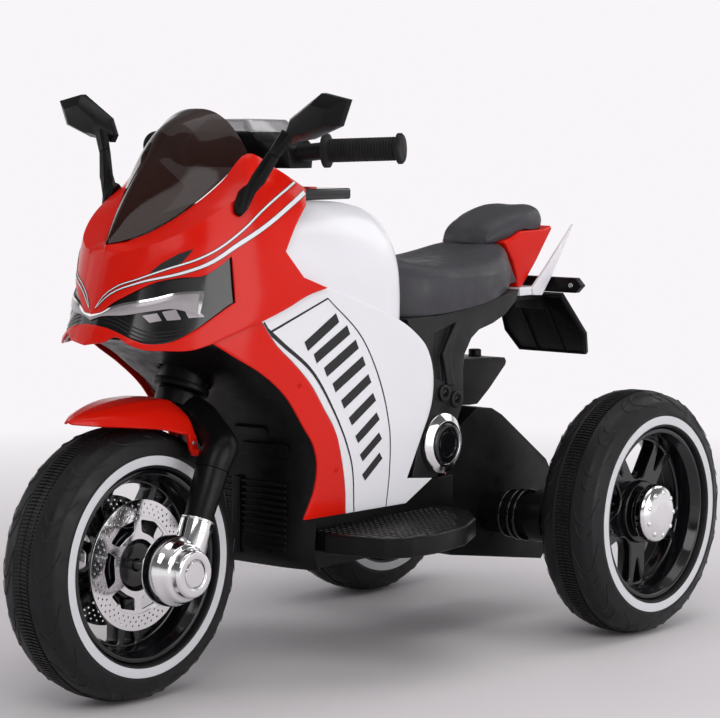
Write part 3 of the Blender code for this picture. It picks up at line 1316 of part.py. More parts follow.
def main():
    """Build every piece."""
    global PARTS, CUTTERS
    clear_scene()
    PARTS = new_collection("ride_on_motorcycle")
    CUTTERS = new_collection("cutters")
    make_wheels()
    make_fork()
    make_fender()
    make_handlebar()
    make_main_frame()
    make_chassis()
    make_front_cowl()
    make_upper_cowl()
    make_headlights()
    make_windscreen()
    make_tank()
    make_dash()
    make_seat()
    make_seat_base()
    make_tail()
    make_rear_housing()
    make_motor_lead()
    make_foot_pedal()
    for suffix, side in (("left", 1), ("right", -1)):
        make_side_panels(suffix, side)
        make_pivot_ring(suffix, side)
        make_gearbox(suffix, side)
        make_footboard(suffix, side)
        make_fork_leg(suffix, side)
        make_grip(suffix, side)
        make_mirror(suffix, side)


main()
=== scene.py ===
"""Finished look of a child's ride-on motorcycle, built over its CAD frame.

Units are metres, +Z is up, the front faces -Y and the rider's left is +X. Every visible piece is built
in place in the frame's own coordinates and rides on the body of the CAD node that it stands for.
"""

import logging
import math
from dataclasses import dataclass
from enum import Enum
from functools import cache
from itertools import product
from typing import Callable, ClassVar, Iterable, Optional, Sequence

import bmesh
import bpy
from mathutils import Matrix, Vector
from mathutils.bvhtree import BVHTree


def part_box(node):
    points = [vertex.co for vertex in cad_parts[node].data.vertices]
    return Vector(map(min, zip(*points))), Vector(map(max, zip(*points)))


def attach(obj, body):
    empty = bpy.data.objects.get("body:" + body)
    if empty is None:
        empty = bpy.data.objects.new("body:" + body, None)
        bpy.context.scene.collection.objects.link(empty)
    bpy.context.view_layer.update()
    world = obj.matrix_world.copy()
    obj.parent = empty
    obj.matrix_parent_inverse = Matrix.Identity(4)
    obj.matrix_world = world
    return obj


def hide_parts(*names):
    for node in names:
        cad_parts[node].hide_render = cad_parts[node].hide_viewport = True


LOG = logging.getLogger("ride_on_motorcycle")

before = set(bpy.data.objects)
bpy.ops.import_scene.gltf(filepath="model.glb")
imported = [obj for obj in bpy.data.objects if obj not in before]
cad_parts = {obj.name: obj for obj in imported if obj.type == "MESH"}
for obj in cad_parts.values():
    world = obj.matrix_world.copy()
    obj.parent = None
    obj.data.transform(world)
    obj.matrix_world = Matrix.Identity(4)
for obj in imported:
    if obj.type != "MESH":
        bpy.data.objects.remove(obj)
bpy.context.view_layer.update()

Pairs = Sequence[tuple[float, float]]
Line = Sequence[Sequence[float]]
Places = Sequence[tuple[Sequence[float], Sequence[float]]]
Opening = Callable[[int, int], bool]
Piece = bpy.types.Object
NodeTree = bpy.types.NodeTree
Socket = bpy.types.NodeSocket

FRONT_AXLE = Vector((0.0, -0.367, 0.165))
REAR_AXLE = Vector((0.0, 0.367, 0.165))
REAR_WHEEL_X = 0.236
RAKE = math.radians(23.0)
STEERING_AXIS = Vector((0.0, math.sin(RAKE), math.cos(RAKE)))
STEERING_FORWARD = Vector((0.0, -math.cos(RAKE), math.sin(RAKE)))
STEERING_POINT = FRONT_AXLE - 0.013 * STEERING_FORWARD
LIFT = 0.0003
TINY = 1e-9
ON_AXIS = 1e-6
MERGE_DISTANCE = 0.00001
COAT_ROUGHNESS = 0.06
ACROSS = Vector((1.0, 0.0, 0.0))
UP = Vector((0.0, 0.0, 1.0))


class Side(Enum):
    """Side of the vehicle as the rider sees it; the value is the sign of X."""

    LEFT = 1
    RIGHT = -1

    @property
    def label(self) -> str:
        """Word used in names."""
        return self.name.lower()

    @property
    def axis(self) -> Vector:
        """Unit vector that points outwards."""
        return Vector((self.value, 0.0, 0.0))

    def mirror(self, points: Line) -> list[Vector]:
        """Put points of the left side on this side."""
        return [Vector((self.value * x, y, z)) for x, y, z in points]


class Body(Enum):
    """Moving bodies of the frame."""

    CHASSIS = "chassis"
    STEERING = "steering"
    FRONT_WHEEL = "front_wheel"
    REAR_WHEEL_LEFT = "rear_wheel_left"
    REAR_WHEEL_RIGHT = "rear_wheel_right"
    MIRROR_LEFT = "mirror_left"
    MIRROR_RIGHT = "mirror_right"
    PEDAL = "pedal"
    POWER_ROCKER = "power_rocker"
    DIRECTION_ROCKER = "direction_rocker"
    HORN = "horn"


@dataclass(frozen=True)
class Finish:
    """Surface finish made of shader nodes, with its variation in colour, gloss and relief."""

    used: ClassVar[dict[str, "Finish"]] = {}
    name: str
    slot: str
    colour: tuple[float, float, float]
    roughness: float
    metallic: float = 0.0
    coat: float = 0.0
    alpha: float = 1.0
    tint_share: float = 0.06
    tint_scale: float = 14.0
    grain_scale: float = 900.0
    grain_depth: float = 0.00002
    gloss_share: float = 0.25
    specular: float = 0.5

    def material(self) -> bpy.types.Material:
        """Build this finish's material once.

        Returns:
            The material.
        """
        self.used[self.name] = self
        made = bpy.data.materials.get(self.name)
        if made is None:
            made = bpy.data.materials.new(self.name)
            made.use_nodes = True
            self.dress(made)
        return made

    def dress(self, material: bpy.types.Material) -> None:
        """Build the nodes of the finish.

        Args:
            material: New material with its Principled shader.
        """
        tree = material.node_tree
        place = add_node(tree, "ShaderNodeTexCoord").outputs["Object"]
        dark, light = [
            (*(min(1.0, value * (1.0 + share)) for value in self.colour), 1.0)
            for share in (-self.tint_share, self.tint_share)
        ]
        patches = noise(tree, place, self.tint_scale, 3.0)
        gloss = (
            self.roughness * (1.0 - self.gloss_share), min(1.0, self.roughness * (1.0 + self.gloss_share)),
        )
        grain = noise(tree, place, self.grain_scale, 2.0)
        bump = add_node(
            tree, "ShaderNodeBump", {"Distance": self.grain_depth, "Strength": 1.0, "Height": grain},
        )
        fill(tree, tree.nodes["Principled BSDF"], {
            "Metallic": self.metallic, "Coat Weight": self.coat, "Coat Roughness": COAT_ROUGHNESS,
            "Specular IOR Level": self.specular, "Alpha": self.alpha, "Normal": bump.outputs["Normal"],
            "Base Color": add_node(
                tree, "ShaderNodeMix", {0: patches, 6: dark, 7: light}, data_type="RGBA",
            ).outputs[2],
            "Roughness": map_range(tree, noise(tree, place, self.tint_scale * 4.0, 4.0), (0.3, 0.7), gloss),
        })


def fill(tree: NodeTree, node: bpy.types.Node, inputs: dict) -> None:
    """Set or link inputs of a node.

    Args:
        tree: Tree of the node.
        node: The node.
        inputs: Value or socket of each input, by name or number.
    """
    for key, value in inputs.items():
        if isinstance(value, Socket):
            tree.links.new(value, node.inputs[key])
        else:
            node.inputs[key].default_value = value


def add_node(tree: NodeTree, kind: str, inputs: Optional[dict] = None, **settings: object) -> bpy.types.Node:
    """Add a node and fill its inputs.

    Args:
        tree: Node tree to add to.
        kind: Type of the node.
        inputs: Value or socket of each input, by name or number.
        settings: Properties of the node.

    Returns:
        The node.
    """
    node = tree.nodes.new(kind)
    for key, value in settings.items():
        setattr(node, key, value)
    fill(tree, node, inputs or {})
    return node


def maths(
    tree: NodeTree, operation: str, first: Socket, second: Socket | float, clamp: bool = False,
) -> Socket:
    """Combine two numbers by a math node."""
    made = add_node(tree, "ShaderNodeMath", {0: first, 1: second}, operation=operation, use_clamp=clamp)
    return made.outputs[0]


def noise(tree: NodeTree, place: Socket, scale: float, detail: float) -> Socket:
    """Return a noise of some cycles a metre."""
    made = add_node(tree, "ShaderNodeTexNoise", {"Vector": place, "Scale": scale, "Detail": detail})
    return made.outputs["Fac"]


def map_range(
    tree: NodeTree, value: Socket, span: tuple[float, float], result: tuple[float, float],
) -> Socket:
    """Map a value's span onto another one."""
    ends = dict(zip(("From Min", "From Max", "To Min", "To Max"), (*span, *result)))
    return add_node(tree, "ShaderNodeMapRange", {"Value": value, **ends}).outputs["Result"]


RED = Finish(
    "red_paint", "red_gloss", (0.62, 0.009, 0.003), 0.2, coat=0.06, tint_share=0.03, grain_scale=420.0,
    specular=0.16,
)
WHITE = Finish(
    "white_plastic", "white_gloss", (0.77, 0.76, 0.79), 0.22, coat=0.08, tint_share=0.006, gloss_share=0.06,
    grain_depth=0.000006, specular=0.4,
)
BLACK = Finish(
    "black_plastic_fine", "black_plastic", (0.0042, 0.0042, 0.0046), 0.34, grain_depth=0.00004, specular=0.15,
)
BLACK_GLOSS = Finish("black_gloss", "black_plastic", (0.004, 0.004, 0.005), 0.14, coat=0.25, specular=0.4)
GREY = Finish(
    "grey_plastic_fine", "grey_plastic", (0.011, 0.011, 0.012), 0.44, grain_depth=0.00005, specular=0.28,
)
SEAT = Finish(
    "seat_plastic_grained", "seat_plastic", (0.04, 0.038, 0.044), 0.5, grain_scale=700.0, grain_depth=0.00016,
    specular=0.35,
)
TYRE = Finish("tyre_rubber", "tyre_black", (0.01, 0.01, 0.011), 0.46, grain_depth=0.00006, specular=0.22)
TYRE_WHITE = Finish("tyre_white_band", "white_gloss", (0.6, 0.6, 0.62), 0.45, specular=0.3)
CHROME = Finish("chrome_plate", "chrome", (0.82, 0.81, 0.82), 0.1, metallic=1.0, grain_depth=0.000002)
SMOKE = Finish(
    "smoked_screen", "smoked_clear", (0.02, 0.007, 0.005), 0.05, alpha=0.86, coat=0.0, specular=0.22,
)
SILVER = Finish("silver_paint_fine", "silver_paint", (0.36, 0.35, 0.36), 0.34, metallic=0.55)
STEEL = Finish("bright_steel", "steel", (0.55, 0.55, 0.56), 0.28, metallic=1.0)
RUBBER = Finish(
    "grip_rubber_matt", "grip_rubber", (0.008, 0.008, 0.009), 0.7, grain_depth=0.00012, specular=0.25,
)
LENS = Finish("lamp_lens", "chrome", (0.34, 0.31, 0.33), 0.22, metallic=0.25, coat=0.3)
RED_KEY = Finish("red_key", "wire_red", (0.55, 0.01, 0.01), 0.3, coat=0.2)
LEAD = Finish("lead_sheath", "wire_red", (0.45, 0.012, 0.01), 0.42)
BATTERY = Finish("battery_case", "battery_grey", (0.14, 0.14, 0.15), 0.55)
PRINT_BLACK = Finish("print_black", "black_plastic", (0.006, 0.006, 0.007), 0.3, coat=0.1, specular=0.3)
PRINT_WHITE = Finish("print_white", "white_gloss", (0.76, 0.75, 0.77), 0.3, coat=0.1, specular=0.3)


def read_curve(pairs: Pairs, position: float) -> float:
    """Read a value between (position, value) pairs.

    Args:
        pairs: Pairs in rising order of position.
        position: Where to read.

    Returns:
        The value, level beyond both ends.
    """
    if position <= pairs[0][0]:
        return pairs[0][1]
    for (start, low), (end, high) in zip(pairs, pairs[1:]):
        if position <= end:
            return low + (high - low) * (position - start) / (end - start)
    return pairs[-1][1]


def blend(low: float, high: float, share: float) -> float:
    """Mix two numbers by a share."""
    return low + (high - low) * share


def smooth_line(points: Line, steps: int, breaks: Iterable[int] = ()) -> list[Vector]:
    """Draw a smooth line through points.

    Args:
        points: Points of the line.
        steps: Spans that each stretch is divided into.
        breaks: Indices of points where the line keeps a corner.

    Returns:
        The points of the fine line.
    """
    points = [Vector(point) for point in points]
    breaks = set(breaks)
    last = len(points) - 1
    line = []
    for i in range(last):
        start, end = points[i], points[i + 1]
        before = points[i - 1] if i > 0 and i not in breaks else start * 2 - end
        after = points[i + 2] if i + 2 <= last and i + 1 not in breaks else end * 2 - start
        here = max((end - start).length, TINY)
        behind = max((start - before).length, TINY)
        ahead = max((after - end).length, TINY)
        leave = ((end - start) / here * behind + (start - before) / behind * here) / (behind + here) * here
        arrive = ((after - end) / ahead * here + (end - start) / here * ahead) / (here + ahead) * here
        for k in range(steps):
            t = k / steps
            line.append(
                start * (2 * t ** 3 - 3 * t ** 2 + 1) + leave * (t ** 3 - 2 * t ** 2 + t)
                + end * (3 * t ** 2 - 2 * t ** 3) + arrive * (t ** 3 - t ** 2)
            )
    line.append(points[-1])
    return line


def fine_grid(
    rows: Sequence[Line], across: int, down: int, column_breaks: Iterable[int] = (),
    row_breaks: Iterable[int] = (),
) -> list[list[Vector]]:
    """Refine a grid of points in both directions.

    Args:
        rows: Coarse rows of points.
        across: Steps for each stretch along a row.
        down: Steps for each stretch from row to row.
        column_breaks: Columns that keep a crease.
        row_breaks: Rows that keep a crease.

    Returns:
        The fine rows.
    """
    wide = [smooth_line(row, across, column_breaks) for row in rows]
    columns = [smooth_line(column, down, row_breaks) for column in zip(*wide)]
    return [list(row) for row in zip(*columns)]


def both_sides(grid: Sequence[Sequence[Vector]]) -> list[list[Vector]]:
    """Extend rows that start on the middle plane to the other side."""
    return [[Vector((-p.x, p.y, p.z)) for p in reversed(row[1:])] + list(row) for row in grid]


def rounded(points: Line, radius: float, steps: int = 4, closed: bool = False) -> list[Vector]:
    """Round the corners of a line.

    Args:
        points: Points of the line.
        radius: Length taken off each side of a corner.
        steps: Spans in each corner.
        closed: Whether the line closes on itself.

    Returns:
        The points of the rounded line.
    """
    points = [Vector(point) for point in points]
    count = len(points)
    line = []
    for i, corner in enumerate(points):
        if not closed and i in (0, count - 1):
            line.append(corner)
            continue
        back, ahead = points[i - 1] - corner, points[(i + 1) % count] - corner
        reach = min(radius, 0.45 * back.length, 0.45 * ahead.length)
        start, end = corner + back.normalized() * reach, corner + ahead.normalized() * reach
        for k in range(steps + 1):
            t = k / steps
            line.append(start * (1 - t) ** 2 + corner * (2 * t * (1 - t)) + end * t ** 2)
    return line


def resample(points: Sequence[Vector], count: int) -> list[Vector]:
    """Space points evenly along a line.

    Args:
        points: Points of the line.
        count: Number of points wanted.

    Returns:
        The evenly spaced points.
    """
    lengths = [0.0]
    for start, end in zip(points, points[1:]):
        lengths.append(lengths[-1] + (end - start).length)
    line, k = [], 0
    for i in range(count):
        reach = lengths[-1] * i / (count - 1)
        while k < len(points) - 2 and lengths[k + 1] < reach:
            k += 1
        span = max(lengths[k + 1] - lengths[k], TINY)
        line.append(points[k].lerp(points[k + 1], min(1.0, (reach - lengths[k]) / span)))
    return line


def steering_point(along: float, forward: float = 0.0, x: float = 0.0) -> Vector:
    """Point at a distance along the steering axis from the axle's height."""
    return STEERING_POINT + along * STEERING_AXIS + forward * STEERING_FORWARD + Vector((x, 0.0, 0.0))


def polar(radius: float, angle: float) -> Vector:
    """Point of a plane at a radius and an angle."""
    return Vector((radius * math.cos(angle), radius * math.sin(angle)))


def circle(radius: float, steps: int) -> list[Vector]:
    """Closed circle about the origin of a plane."""
    return [polar(radius, 2 * math.pi * k / steps) for k in range(steps)]


def slab(half: float, low: float, high: float, corner: float) -> list[Vector]:
    """Closed outline of a rounded rectangle about the middle line."""
    return rounded([(-half, low), (half, low), (half, high), (-half, high)], corner, 4, True)


def linked(name: str, data: bpy.types.ID) -> Piece:
    """Put data into the scene as a new object.

    Args:
        name: Name of the object.
        data: Its mesh, curve, lamp or camera.

    Returns:
        The object.
    """
    made = bpy.data.objects.new(name, data)
    bpy.context.scene.collection.objects.link(made)
    return made


def bridge(shape: bmesh.types.BMesh, ring: Sequence, following: Sequence) -> None:
    """Close the band between two rings of vertices.

    Args:
        shape: The shape that holds them.
        ring: First ring.
        following: Second ring, with as many vertices.
    """
    for k, vertex in enumerate(ring):
        j = (k + 1) % len(ring)
        shape.faces.new((vertex, ring[j], following[j], following[k]))


def face_outwards(shape: bmesh.types.BMesh, outward: Vector) -> None:
    """Turn a surface over if most of it looks the wrong way.

    Args:
        shape: The surface.
        outward: Rough direction that it should face.
    """
    facing = sum((face.normal * face.calc_area() for face in shape.faces), Vector())
    if facing.dot(outward) < 0:
        bmesh.ops.reverse_faces(shape, faces=shape.faces)
        shape.normal_update()


def thicken(made: Piece, thickness: float, edge: float, segments: int, angle: float) -> Piece:
    """Give a surface a wall behind it, with rounded edges.

    Args:
        made: The surface.
        thickness: Thickness of the wall.
        edge: Rounding of its edges.
        segments: Spans across the rounding.
        angle: Angle in degrees from which an edge is rounded.

    Returns:
        The piece as a plain mesh.
    """
    wall = made.modifiers.new("wall", "SOLIDIFY")
    wall.thickness = thickness
    wall.offset = -1.0
    if edge > 0:
        add_bevel(made, edge, segments, angle)
    return bake(made)


def finish_mesh(name: str, shape: bmesh.types.BMesh, finish: Finish, sharp: float = 40.0) -> Piece:
    """Turn a bmesh into a linked object with smooth faces.

    Args:
        name: Name of the piece.
        shape: The shape, which is used up.
        finish: Its finish.
        sharp: Angle in degrees from which edges stay sharp.

    Returns:
        The new object.
    """
    mesh = bpy.data.meshes.new(name)
    shape.to_mesh(mesh)
    shape.free()
    mesh.shade_smooth()
    mesh.set_sharp_from_angle(angle=math.radians(sharp))
    mesh.materials.append(finish.material())
    return linked(name, mesh)


def bake(made: Piece, sharp: float = 40.0) -> Piece:
    """Turn an object's modifiers and placing into a plain mesh.

    Args:
        made: Object with modifiers.
        sharp: Angle in degrees from which edges stay sharp.

    Returns:
        The same object.
    """
    bpy.context.view_layer.update()
    graph = bpy.context.evaluated_depsgraph_get()
    mesh = bpy.data.meshes.new_from_object(made.evaluated_get(graph), depsgraph=graph)
    mesh.transform(made.matrix_world)
    old = made.data
    made.modifiers.clear()
    made.data = mesh
    made.matrix_world = Matrix()
    mesh.shade_smooth()
    mesh.set_sharp_from_angle(angle=math.radians(sharp))
    if old.users == 0:
        bpy.data.meshes.remove(old)
    return made


def give(made: Piece, body: Body, *nodes: str) -> Piece:
    """Hand a finished piece to the frame.

    Args:
        made: The piece, in place and dressed in its finish.
        body: Body that it rides on.
        nodes: CAD nodes that it stands for.

    Returns:
        The same piece.
    """
    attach(made, body.value)
    if nodes:
        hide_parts(*nodes)
    LOG.info("piece %s on %s, %d faces", made.name, body.value, len(made.data.polygons))
    return made


def add_bevel(made: Piece, width: float, segments: int = 3, angle: float = 35.0) -> None:
    """Add a bevel to an object's edges.

    Args:
        made: Object to bevel.
        width: Width of the bevel.
        segments: Spans across it.
        angle: Angle in degrees from which an edge is rounded.
    """
    modifier = made.modifiers.new("rounded", "BEVEL")
    modifier.width = width
    modifier.segments = segments
    modifier.limit_method = "ANGLE"
    modifier.angle_limit = math.radians(angle)
    modifier.harden_normals = False


def grid_shape(grid: Sequence[Sequence[Vector]], is_open: Optional[Opening] = None) -> bmesh.types.BMesh:
    """Build a bmesh through a grid of points.

    Args:
        grid: Rows of points.
        is_open: Tells by row and column whether a face is left out.

    Returns:
        The bmesh.
    """
    shape = bmesh.new()
    points = [[shape.verts.new(point) for point in row] for row in grid]
    for r in range(len(points) - 1):
        for c in range(len(points[0]) - 1):
            if is_open is None or not is_open(r, c):
                shape.faces.new((points[r][c], points[r][c + 1], points[r + 1][c + 1], points[r + 1][c]))
    bmesh.ops.remove_doubles(shape, verts=shape.verts, dist=MERGE_DISTANCE)
    shape.normal_update()
    return shape


@dataclass
class Skin:
    """Outer surface of a thin moulded piece.

    Attributes:
        grid: Rows of points of the outer face.
        outward: Rough direction that the outer face looks in.
    """

    grid: list[list[Vector]]
    outward: Vector
    tree: Optional[BVHTree] = None

    def shape(self, is_open: Optional[Opening] = None) -> bmesh.types.BMesh:
        """Build the surface with its faces looking outwards.

        Args:
            is_open: Tells by row and column whether a face is left out.

        Returns:
            The bmesh.
        """
        shape = grid_shape(self.grid, is_open)
        face_outwards(shape, self.outward)
        return shape

    def nearest(self, point: Sequence[float], lift: float = LIFT) -> tuple[Vector, Vector]:
        """Find the nearest place on the surface.

        Args:
            point: Point near the surface.
            lift: Height above the surface.

        Returns:
            The lifted point and the surface's normal.
        """
        if self.tree is None:
            shape = self.shape()
            self.tree = BVHTree.FromBMesh(shape)
            shape.free()
        place, normal, _, _ = self.tree.find_nearest(Vector(point))
        return place + normal * lift, normal

    def shell(
        self, name: str, finish: Finish, thickness: float = 0.0025, edge: float = 0.0006,
        is_open: Optional[Opening] = None,
    ) -> Piece:
        """Make the moulded piece behind the surface.

        Args:
            name: Name of the piece.
            finish: Its finish.
            thickness: Thickness of the wall.
            edge: Rounding of its edges.
            is_open: Tells which faces are left out.

        Returns:
            The piece as a plain mesh.
        """
        return thicken(finish_mesh(name, self.shape(is_open), finish), thickness, edge, 2, 60.0)

    def ribbon(
        self, name: str, points: Line, widths: Pairs, finish: Finish, lift: float = LIFT, count: int = 40,
    ) -> Piece:
        """Lay a printed line on the surface.

        Args:
            name: Name of the piece.
            points: Points of the line.
            widths: (share of the length, width) pairs.
            finish: Its finish.
            lift: Height above the surface.
            count: Points along the line.

        Returns:
            The ribbon.
        """
        line = resample(smooth_line(points, 6), count)
        grid = []
        for i, point in enumerate(line):
            place, normal = self.nearest(point, 0.0)
            ahead = line[min(i + 1, count - 1)] - line[max(i - 1, 0)]
            across = normal.cross(ahead).normalized()
            half = read_curve(widths, i / (count - 1)) / 2
            grid.append(
                [self.nearest(place + across * (half * k), lift)[0] for k in (-1.0, -0.33, 0.33, 1.0)],
            )
        return finish_mesh(name, Skin(grid, self.outward).shape(), finish)

    def patch(self, name: str, outline: Line, finish: Finish, lift: float, corner: float) -> Piece:
        """Lay a flat shape on the surface.

        Args:
            name: Name of the piece.
            outline: Closed outline, points near the surface.
            finish: Its finish.
            lift: Height above the surface.
            corner: Rounding of its corners.

        Returns:
            The patch.
        """
        shape = bmesh.new()
        shape.faces.new([shape.verts.new(point) for point in rounded(outline, corner, 4, True)])
        bmesh.ops.triangulate(shape, faces=shape.faces)
        for _ in range(3):
            bmesh.ops.subdivide_edges(shape, edges=shape.edges, cuts=1, use_grid_fill=True)
        for vertex in shape.verts:
            vertex.co = self.nearest(vertex.co, lift)[0]
        shape.normal_update()
        face_outwards(shape, self.outward)
        return finish_mesh(name, shape, finish)


def loft(
    name: str, half_rows: Sequence[Sequence[Vector]], finish: Finish, edge: float, sharp: float,
) -> Piece:
    """Skin closed sections given by their half on the left.

    Args:
        name: Name of the piece.
        half_rows: Rows from the bottom middle to the top middle.
        finish: Its finish.
        edge: Rounding of its sharp edges.
        sharp: Angle in degrees from which edges are rounded.

    Returns:
        The closed piece.
    """
    shape = bmesh.new()
    rings = []
    for row in half_rows:
        left = [Vector((-p.x, p.y, p.z)) for p in reversed(row) if p.x > MERGE_DISTANCE]
        rings.append([shape.verts.new(point) for point in list(row) + left])
    for ring, following in zip(rings, rings[1:]):
        bridge(shape, ring, following)
    shape.faces.new(rings[0])
    shape.faces.new(rings[-1])
    bmesh.ops.recalc_face_normals(shape, faces=shape.faces)
    made = finish_mesh(name, shape, finish, sharp)
    add_bevel(made, edge, 4, sharp)
    return bake(made, 50.0)


def lathe(
    name: str, profile: Line, centre: Vector, axis: Vector, finish: Finish, steps: int = 112,
    closed: bool = False,
    sharp: float = 40.0,
) -> Piece:
    """Turn a profile about an axis.

    Args:
        name: Name of the piece.
        profile: (radius, distance along the axis) points.
        centre: Point on the axis at distance 0.
        axis: Direction of the axis.
        finish: Its finish.
        steps: Spans round the axis.
        closed: Whether the profile closes on itself.
        sharp: Angle in degrees from which edges stay sharp.

    Returns:
        The turned piece.
    """
    axis = axis.normalized()
    across = axis.orthogonal().normalized() if abs(axis.x) < 0.99 else Vector((0.0, 1.0, 0.0))
    other = axis.cross(across)
    shape = bmesh.new()
    rings = []
    for radius, along in profile:
        middle = centre + axis * along
        if radius < ON_AXIS:
            rings.append([shape.verts.new(middle)] * steps)
            continue
        rings.append([
            shape.verts.new(middle + (across * math.cos(a) + other * math.sin(a)) * radius)
            for a in (2 * math.pi * k / steps for k in range(steps))
        ])
    pairs = list(zip(rings, rings[1:] + rings[:1])) if closed else list(zip(rings, rings[1:]))
    for ring, following in pairs:
        for k in range(steps):
            j = (k + 1) % steps
            corners = list(dict.fromkeys((ring[k], ring[j], following[j], following[k])))
            if len(corners) > 2:
                shape.faces.new(corners)
    bmesh.ops.recalc_face_normals(shape, faces=shape.faces)
    return finish_mesh(name, shape, finish, sharp)


def tube(name: str, points: Line, radius: float, finish: Finish, resolution: int = 7) -> Piece:
    """Make a round bar along points.

    Args:
        name: Name of the piece.
        points: Points of its middle line.
        radius: Radius of the bar.
        finish: Its finish.
        resolution: Smoothness of its section.

    Returns:
        The bar as a plain mesh.
    """
    curve = bpy.data.curves.new(name, "CURVE")
    curve.dimensions = "3D"
    curve.bevel_depth = radius
    curve.bevel_resolution = resolution
    curve.use_fill_caps = True
    spline = curve.splines.new("POLY")
    spline.points.add(len(points) - 1)
    for target, point in zip(spline.points, points):
        target.co = (*point, 1.0)
    return from_curve(name, curve, Matrix(), finish)


def from_curve(name: str, curve: bpy.types.Curve, place: Matrix, finish: Finish) -> Piece:
    """Turn a curve into a plain mesh piece.

    Args:
        name: Name of the piece.
        curve: The curve, which is used up.
        place: Where the curve lies.
        finish: Its finish.

    Returns:
        The piece.
    """
    drawn = linked(name + "_line", curve)
    bpy.context.view_layer.update()
    mesh = bpy.data.meshes.new_from_object(drawn.evaluated_get(bpy.context.evaluated_depsgraph_get()))
    mesh.transform(place)
    shape = bmesh.new()
    shape.from_mesh(mesh)
    bmesh.ops.remove_doubles(shape, verts=shape.verts, dist=MERGE_DISTANCE)
    bmesh.ops.recalc_face_normals(shape, faces=shape.faces)
    bpy.data.meshes.remove(mesh)
    bpy.data.objects.remove(drawn, do_unlink=True)
    bpy.data.curves.remove(curve)
    return finish_mesh(name, shape, finish)


def plate(
    name: str, loops: Sequence[Line], thickness: float, edge: float, place: Matrix, finish: Finish,
) -> Piece:
    """Make a flat plate with holes and rounded edges.

    Args:
        name: Name of the piece.
        loops: Closed outlines in the plate's plane, the outer one first.
        thickness: Thickness of the plate.
        edge: Rounding of its edges.
        place: Matrix from the plate's plane to the frame.
        finish: Its finish.

    Returns:
        The plate.
    """
    curve = bpy.data.curves.new(name, "CURVE")
    curve.dimensions = "2D"
    curve.fill_mode = "BOTH"
    curve.extrude = thickness / 2 - edge
    curve.bevel_depth = edge
    curve.bevel_resolution = 2
    curve.offset = -edge
    for loop in loops:
        spline = curve.splines.new("POLY")
        spline.points.add(len(loop) - 1)
        for target, point in zip(spline.points, loop):
            target.co = (point[0], point[1], 0.0, 1.0)
        spline.use_cyclic_u = True
    made = from_curve(name, curve, place, finish)
    facing = place.to_3x3() @ UP
    for face in made.data.polygons:
        if abs(face.normal.dot(facing)) > 0.9999:
            face.use_smooth = False
    return made


def side_place(x: float, y: float = 0.0, z: float = 0.0) -> Matrix:
    """Matrix that stands a (y, z) outline up at a point."""
    turn = Matrix(((0, 0, 1, 0), (1, 0, 0, 0), (0, 1, 0, 0), (0, 0, 0, 1)))
    return Matrix.Translation((x, y, z)) @ turn


def refined_copy(node: str, finish: Finish, edge: float, segments: int = 3) -> Piece:
    """Copy a CAD node with merged faces and rounded edges.

    Args:
        node: Name of the node.
        finish: Its finish.
        edge: Rounding of its edges.
        segments: Spans across the rounding.

    Returns:
        The copy as a plain mesh.
    """
    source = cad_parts[node]
    shape = bmesh.new()
    shape.from_mesh(source.data)
    shape.transform(source.matrix_world)
    bmesh.ops.remove_doubles(shape, verts=shape.verts, dist=0.00002)
    bmesh.ops.dissolve_limit(shape, angle_limit=math.radians(1.0), verts=shape.verts, edges=shape.edges)
    bmesh.ops.recalc_face_normals(shape, faces=shape.faces)
    made = finish_mesh("visual_" + node, shape, finish)
    if edge > 0:
        add_bevel(made, edge, segments, 32.0)
    return bake(made)


def joined(name: str, pieces: Sequence[Piece]) -> Piece:
    """Join plain pieces of one body into one.

    Args:
        name: Name of the result.
        pieces: The pieces, which are used up.

    Returns:
        The joined piece.
    """
    target = pieces[0]
    with bpy.context.temp_override(active_object=target, selected_editable_objects=list(pieces)):
        bpy.ops.object.join()
    target.name = name
    return target


def node_group(name: str, **inputs: str) -> tuple[NodeTree, bpy.types.Node]:
    """Start a geometry node tree.

    Args:
        name: Name of the tree.
        inputs: Kind of socket of each named input.

    Returns:
        The tree and its input node.
    """
    tree = bpy.data.node_groups.new(name, "GeometryNodeTree")
    for label, kind in inputs.items():
        tree.interface.new_socket(name=label, in_out="INPUT", socket_type="NodeSocket" + kind)
    tree.interface.new_socket(name="Geometry", in_out="OUTPUT", socket_type="NodeSocketGeometry")
    return tree, tree.nodes.new("NodeGroupInput")


def end_tree(tree: NodeTree, start: bpy.types.Node, instances: Socket, move: Optional[Socket] = None) -> None:
    """Finish a tree with real geometry in the chosen material.

    Args:
        tree: The tree.
        start: Its input node.
        instances: Socket with the instances.
        move: Socket with a last shift.
    """
    real = add_node(tree, "GeometryNodeRealizeInstances", {0: instances}).outputs[0]
    if move is not None:
        real = add_node(tree, "GeometryNodeTransform", {"Geometry": real, "Translation": move}).outputs[0]
    dress = add_node(
        tree, "GeometryNodeSetMaterial", {"Geometry": real, "Material": start.outputs["Material"]},
    )
    add_node(tree, "NodeGroupOutput", {0: dress.outputs[0]})


def instances(tree: NodeTree, points: Socket, piece: Socket, turn: Optional[Socket] = None) -> Socket:
    """Set a piece on points, turned by a socket if there is one."""
    inputs = {"Points": points, "Instance": piece, **({"Rotation": turn} if turn else {})}
    return add_node(tree, "GeometryNodeInstanceOnPoints", inputs).outputs[0]


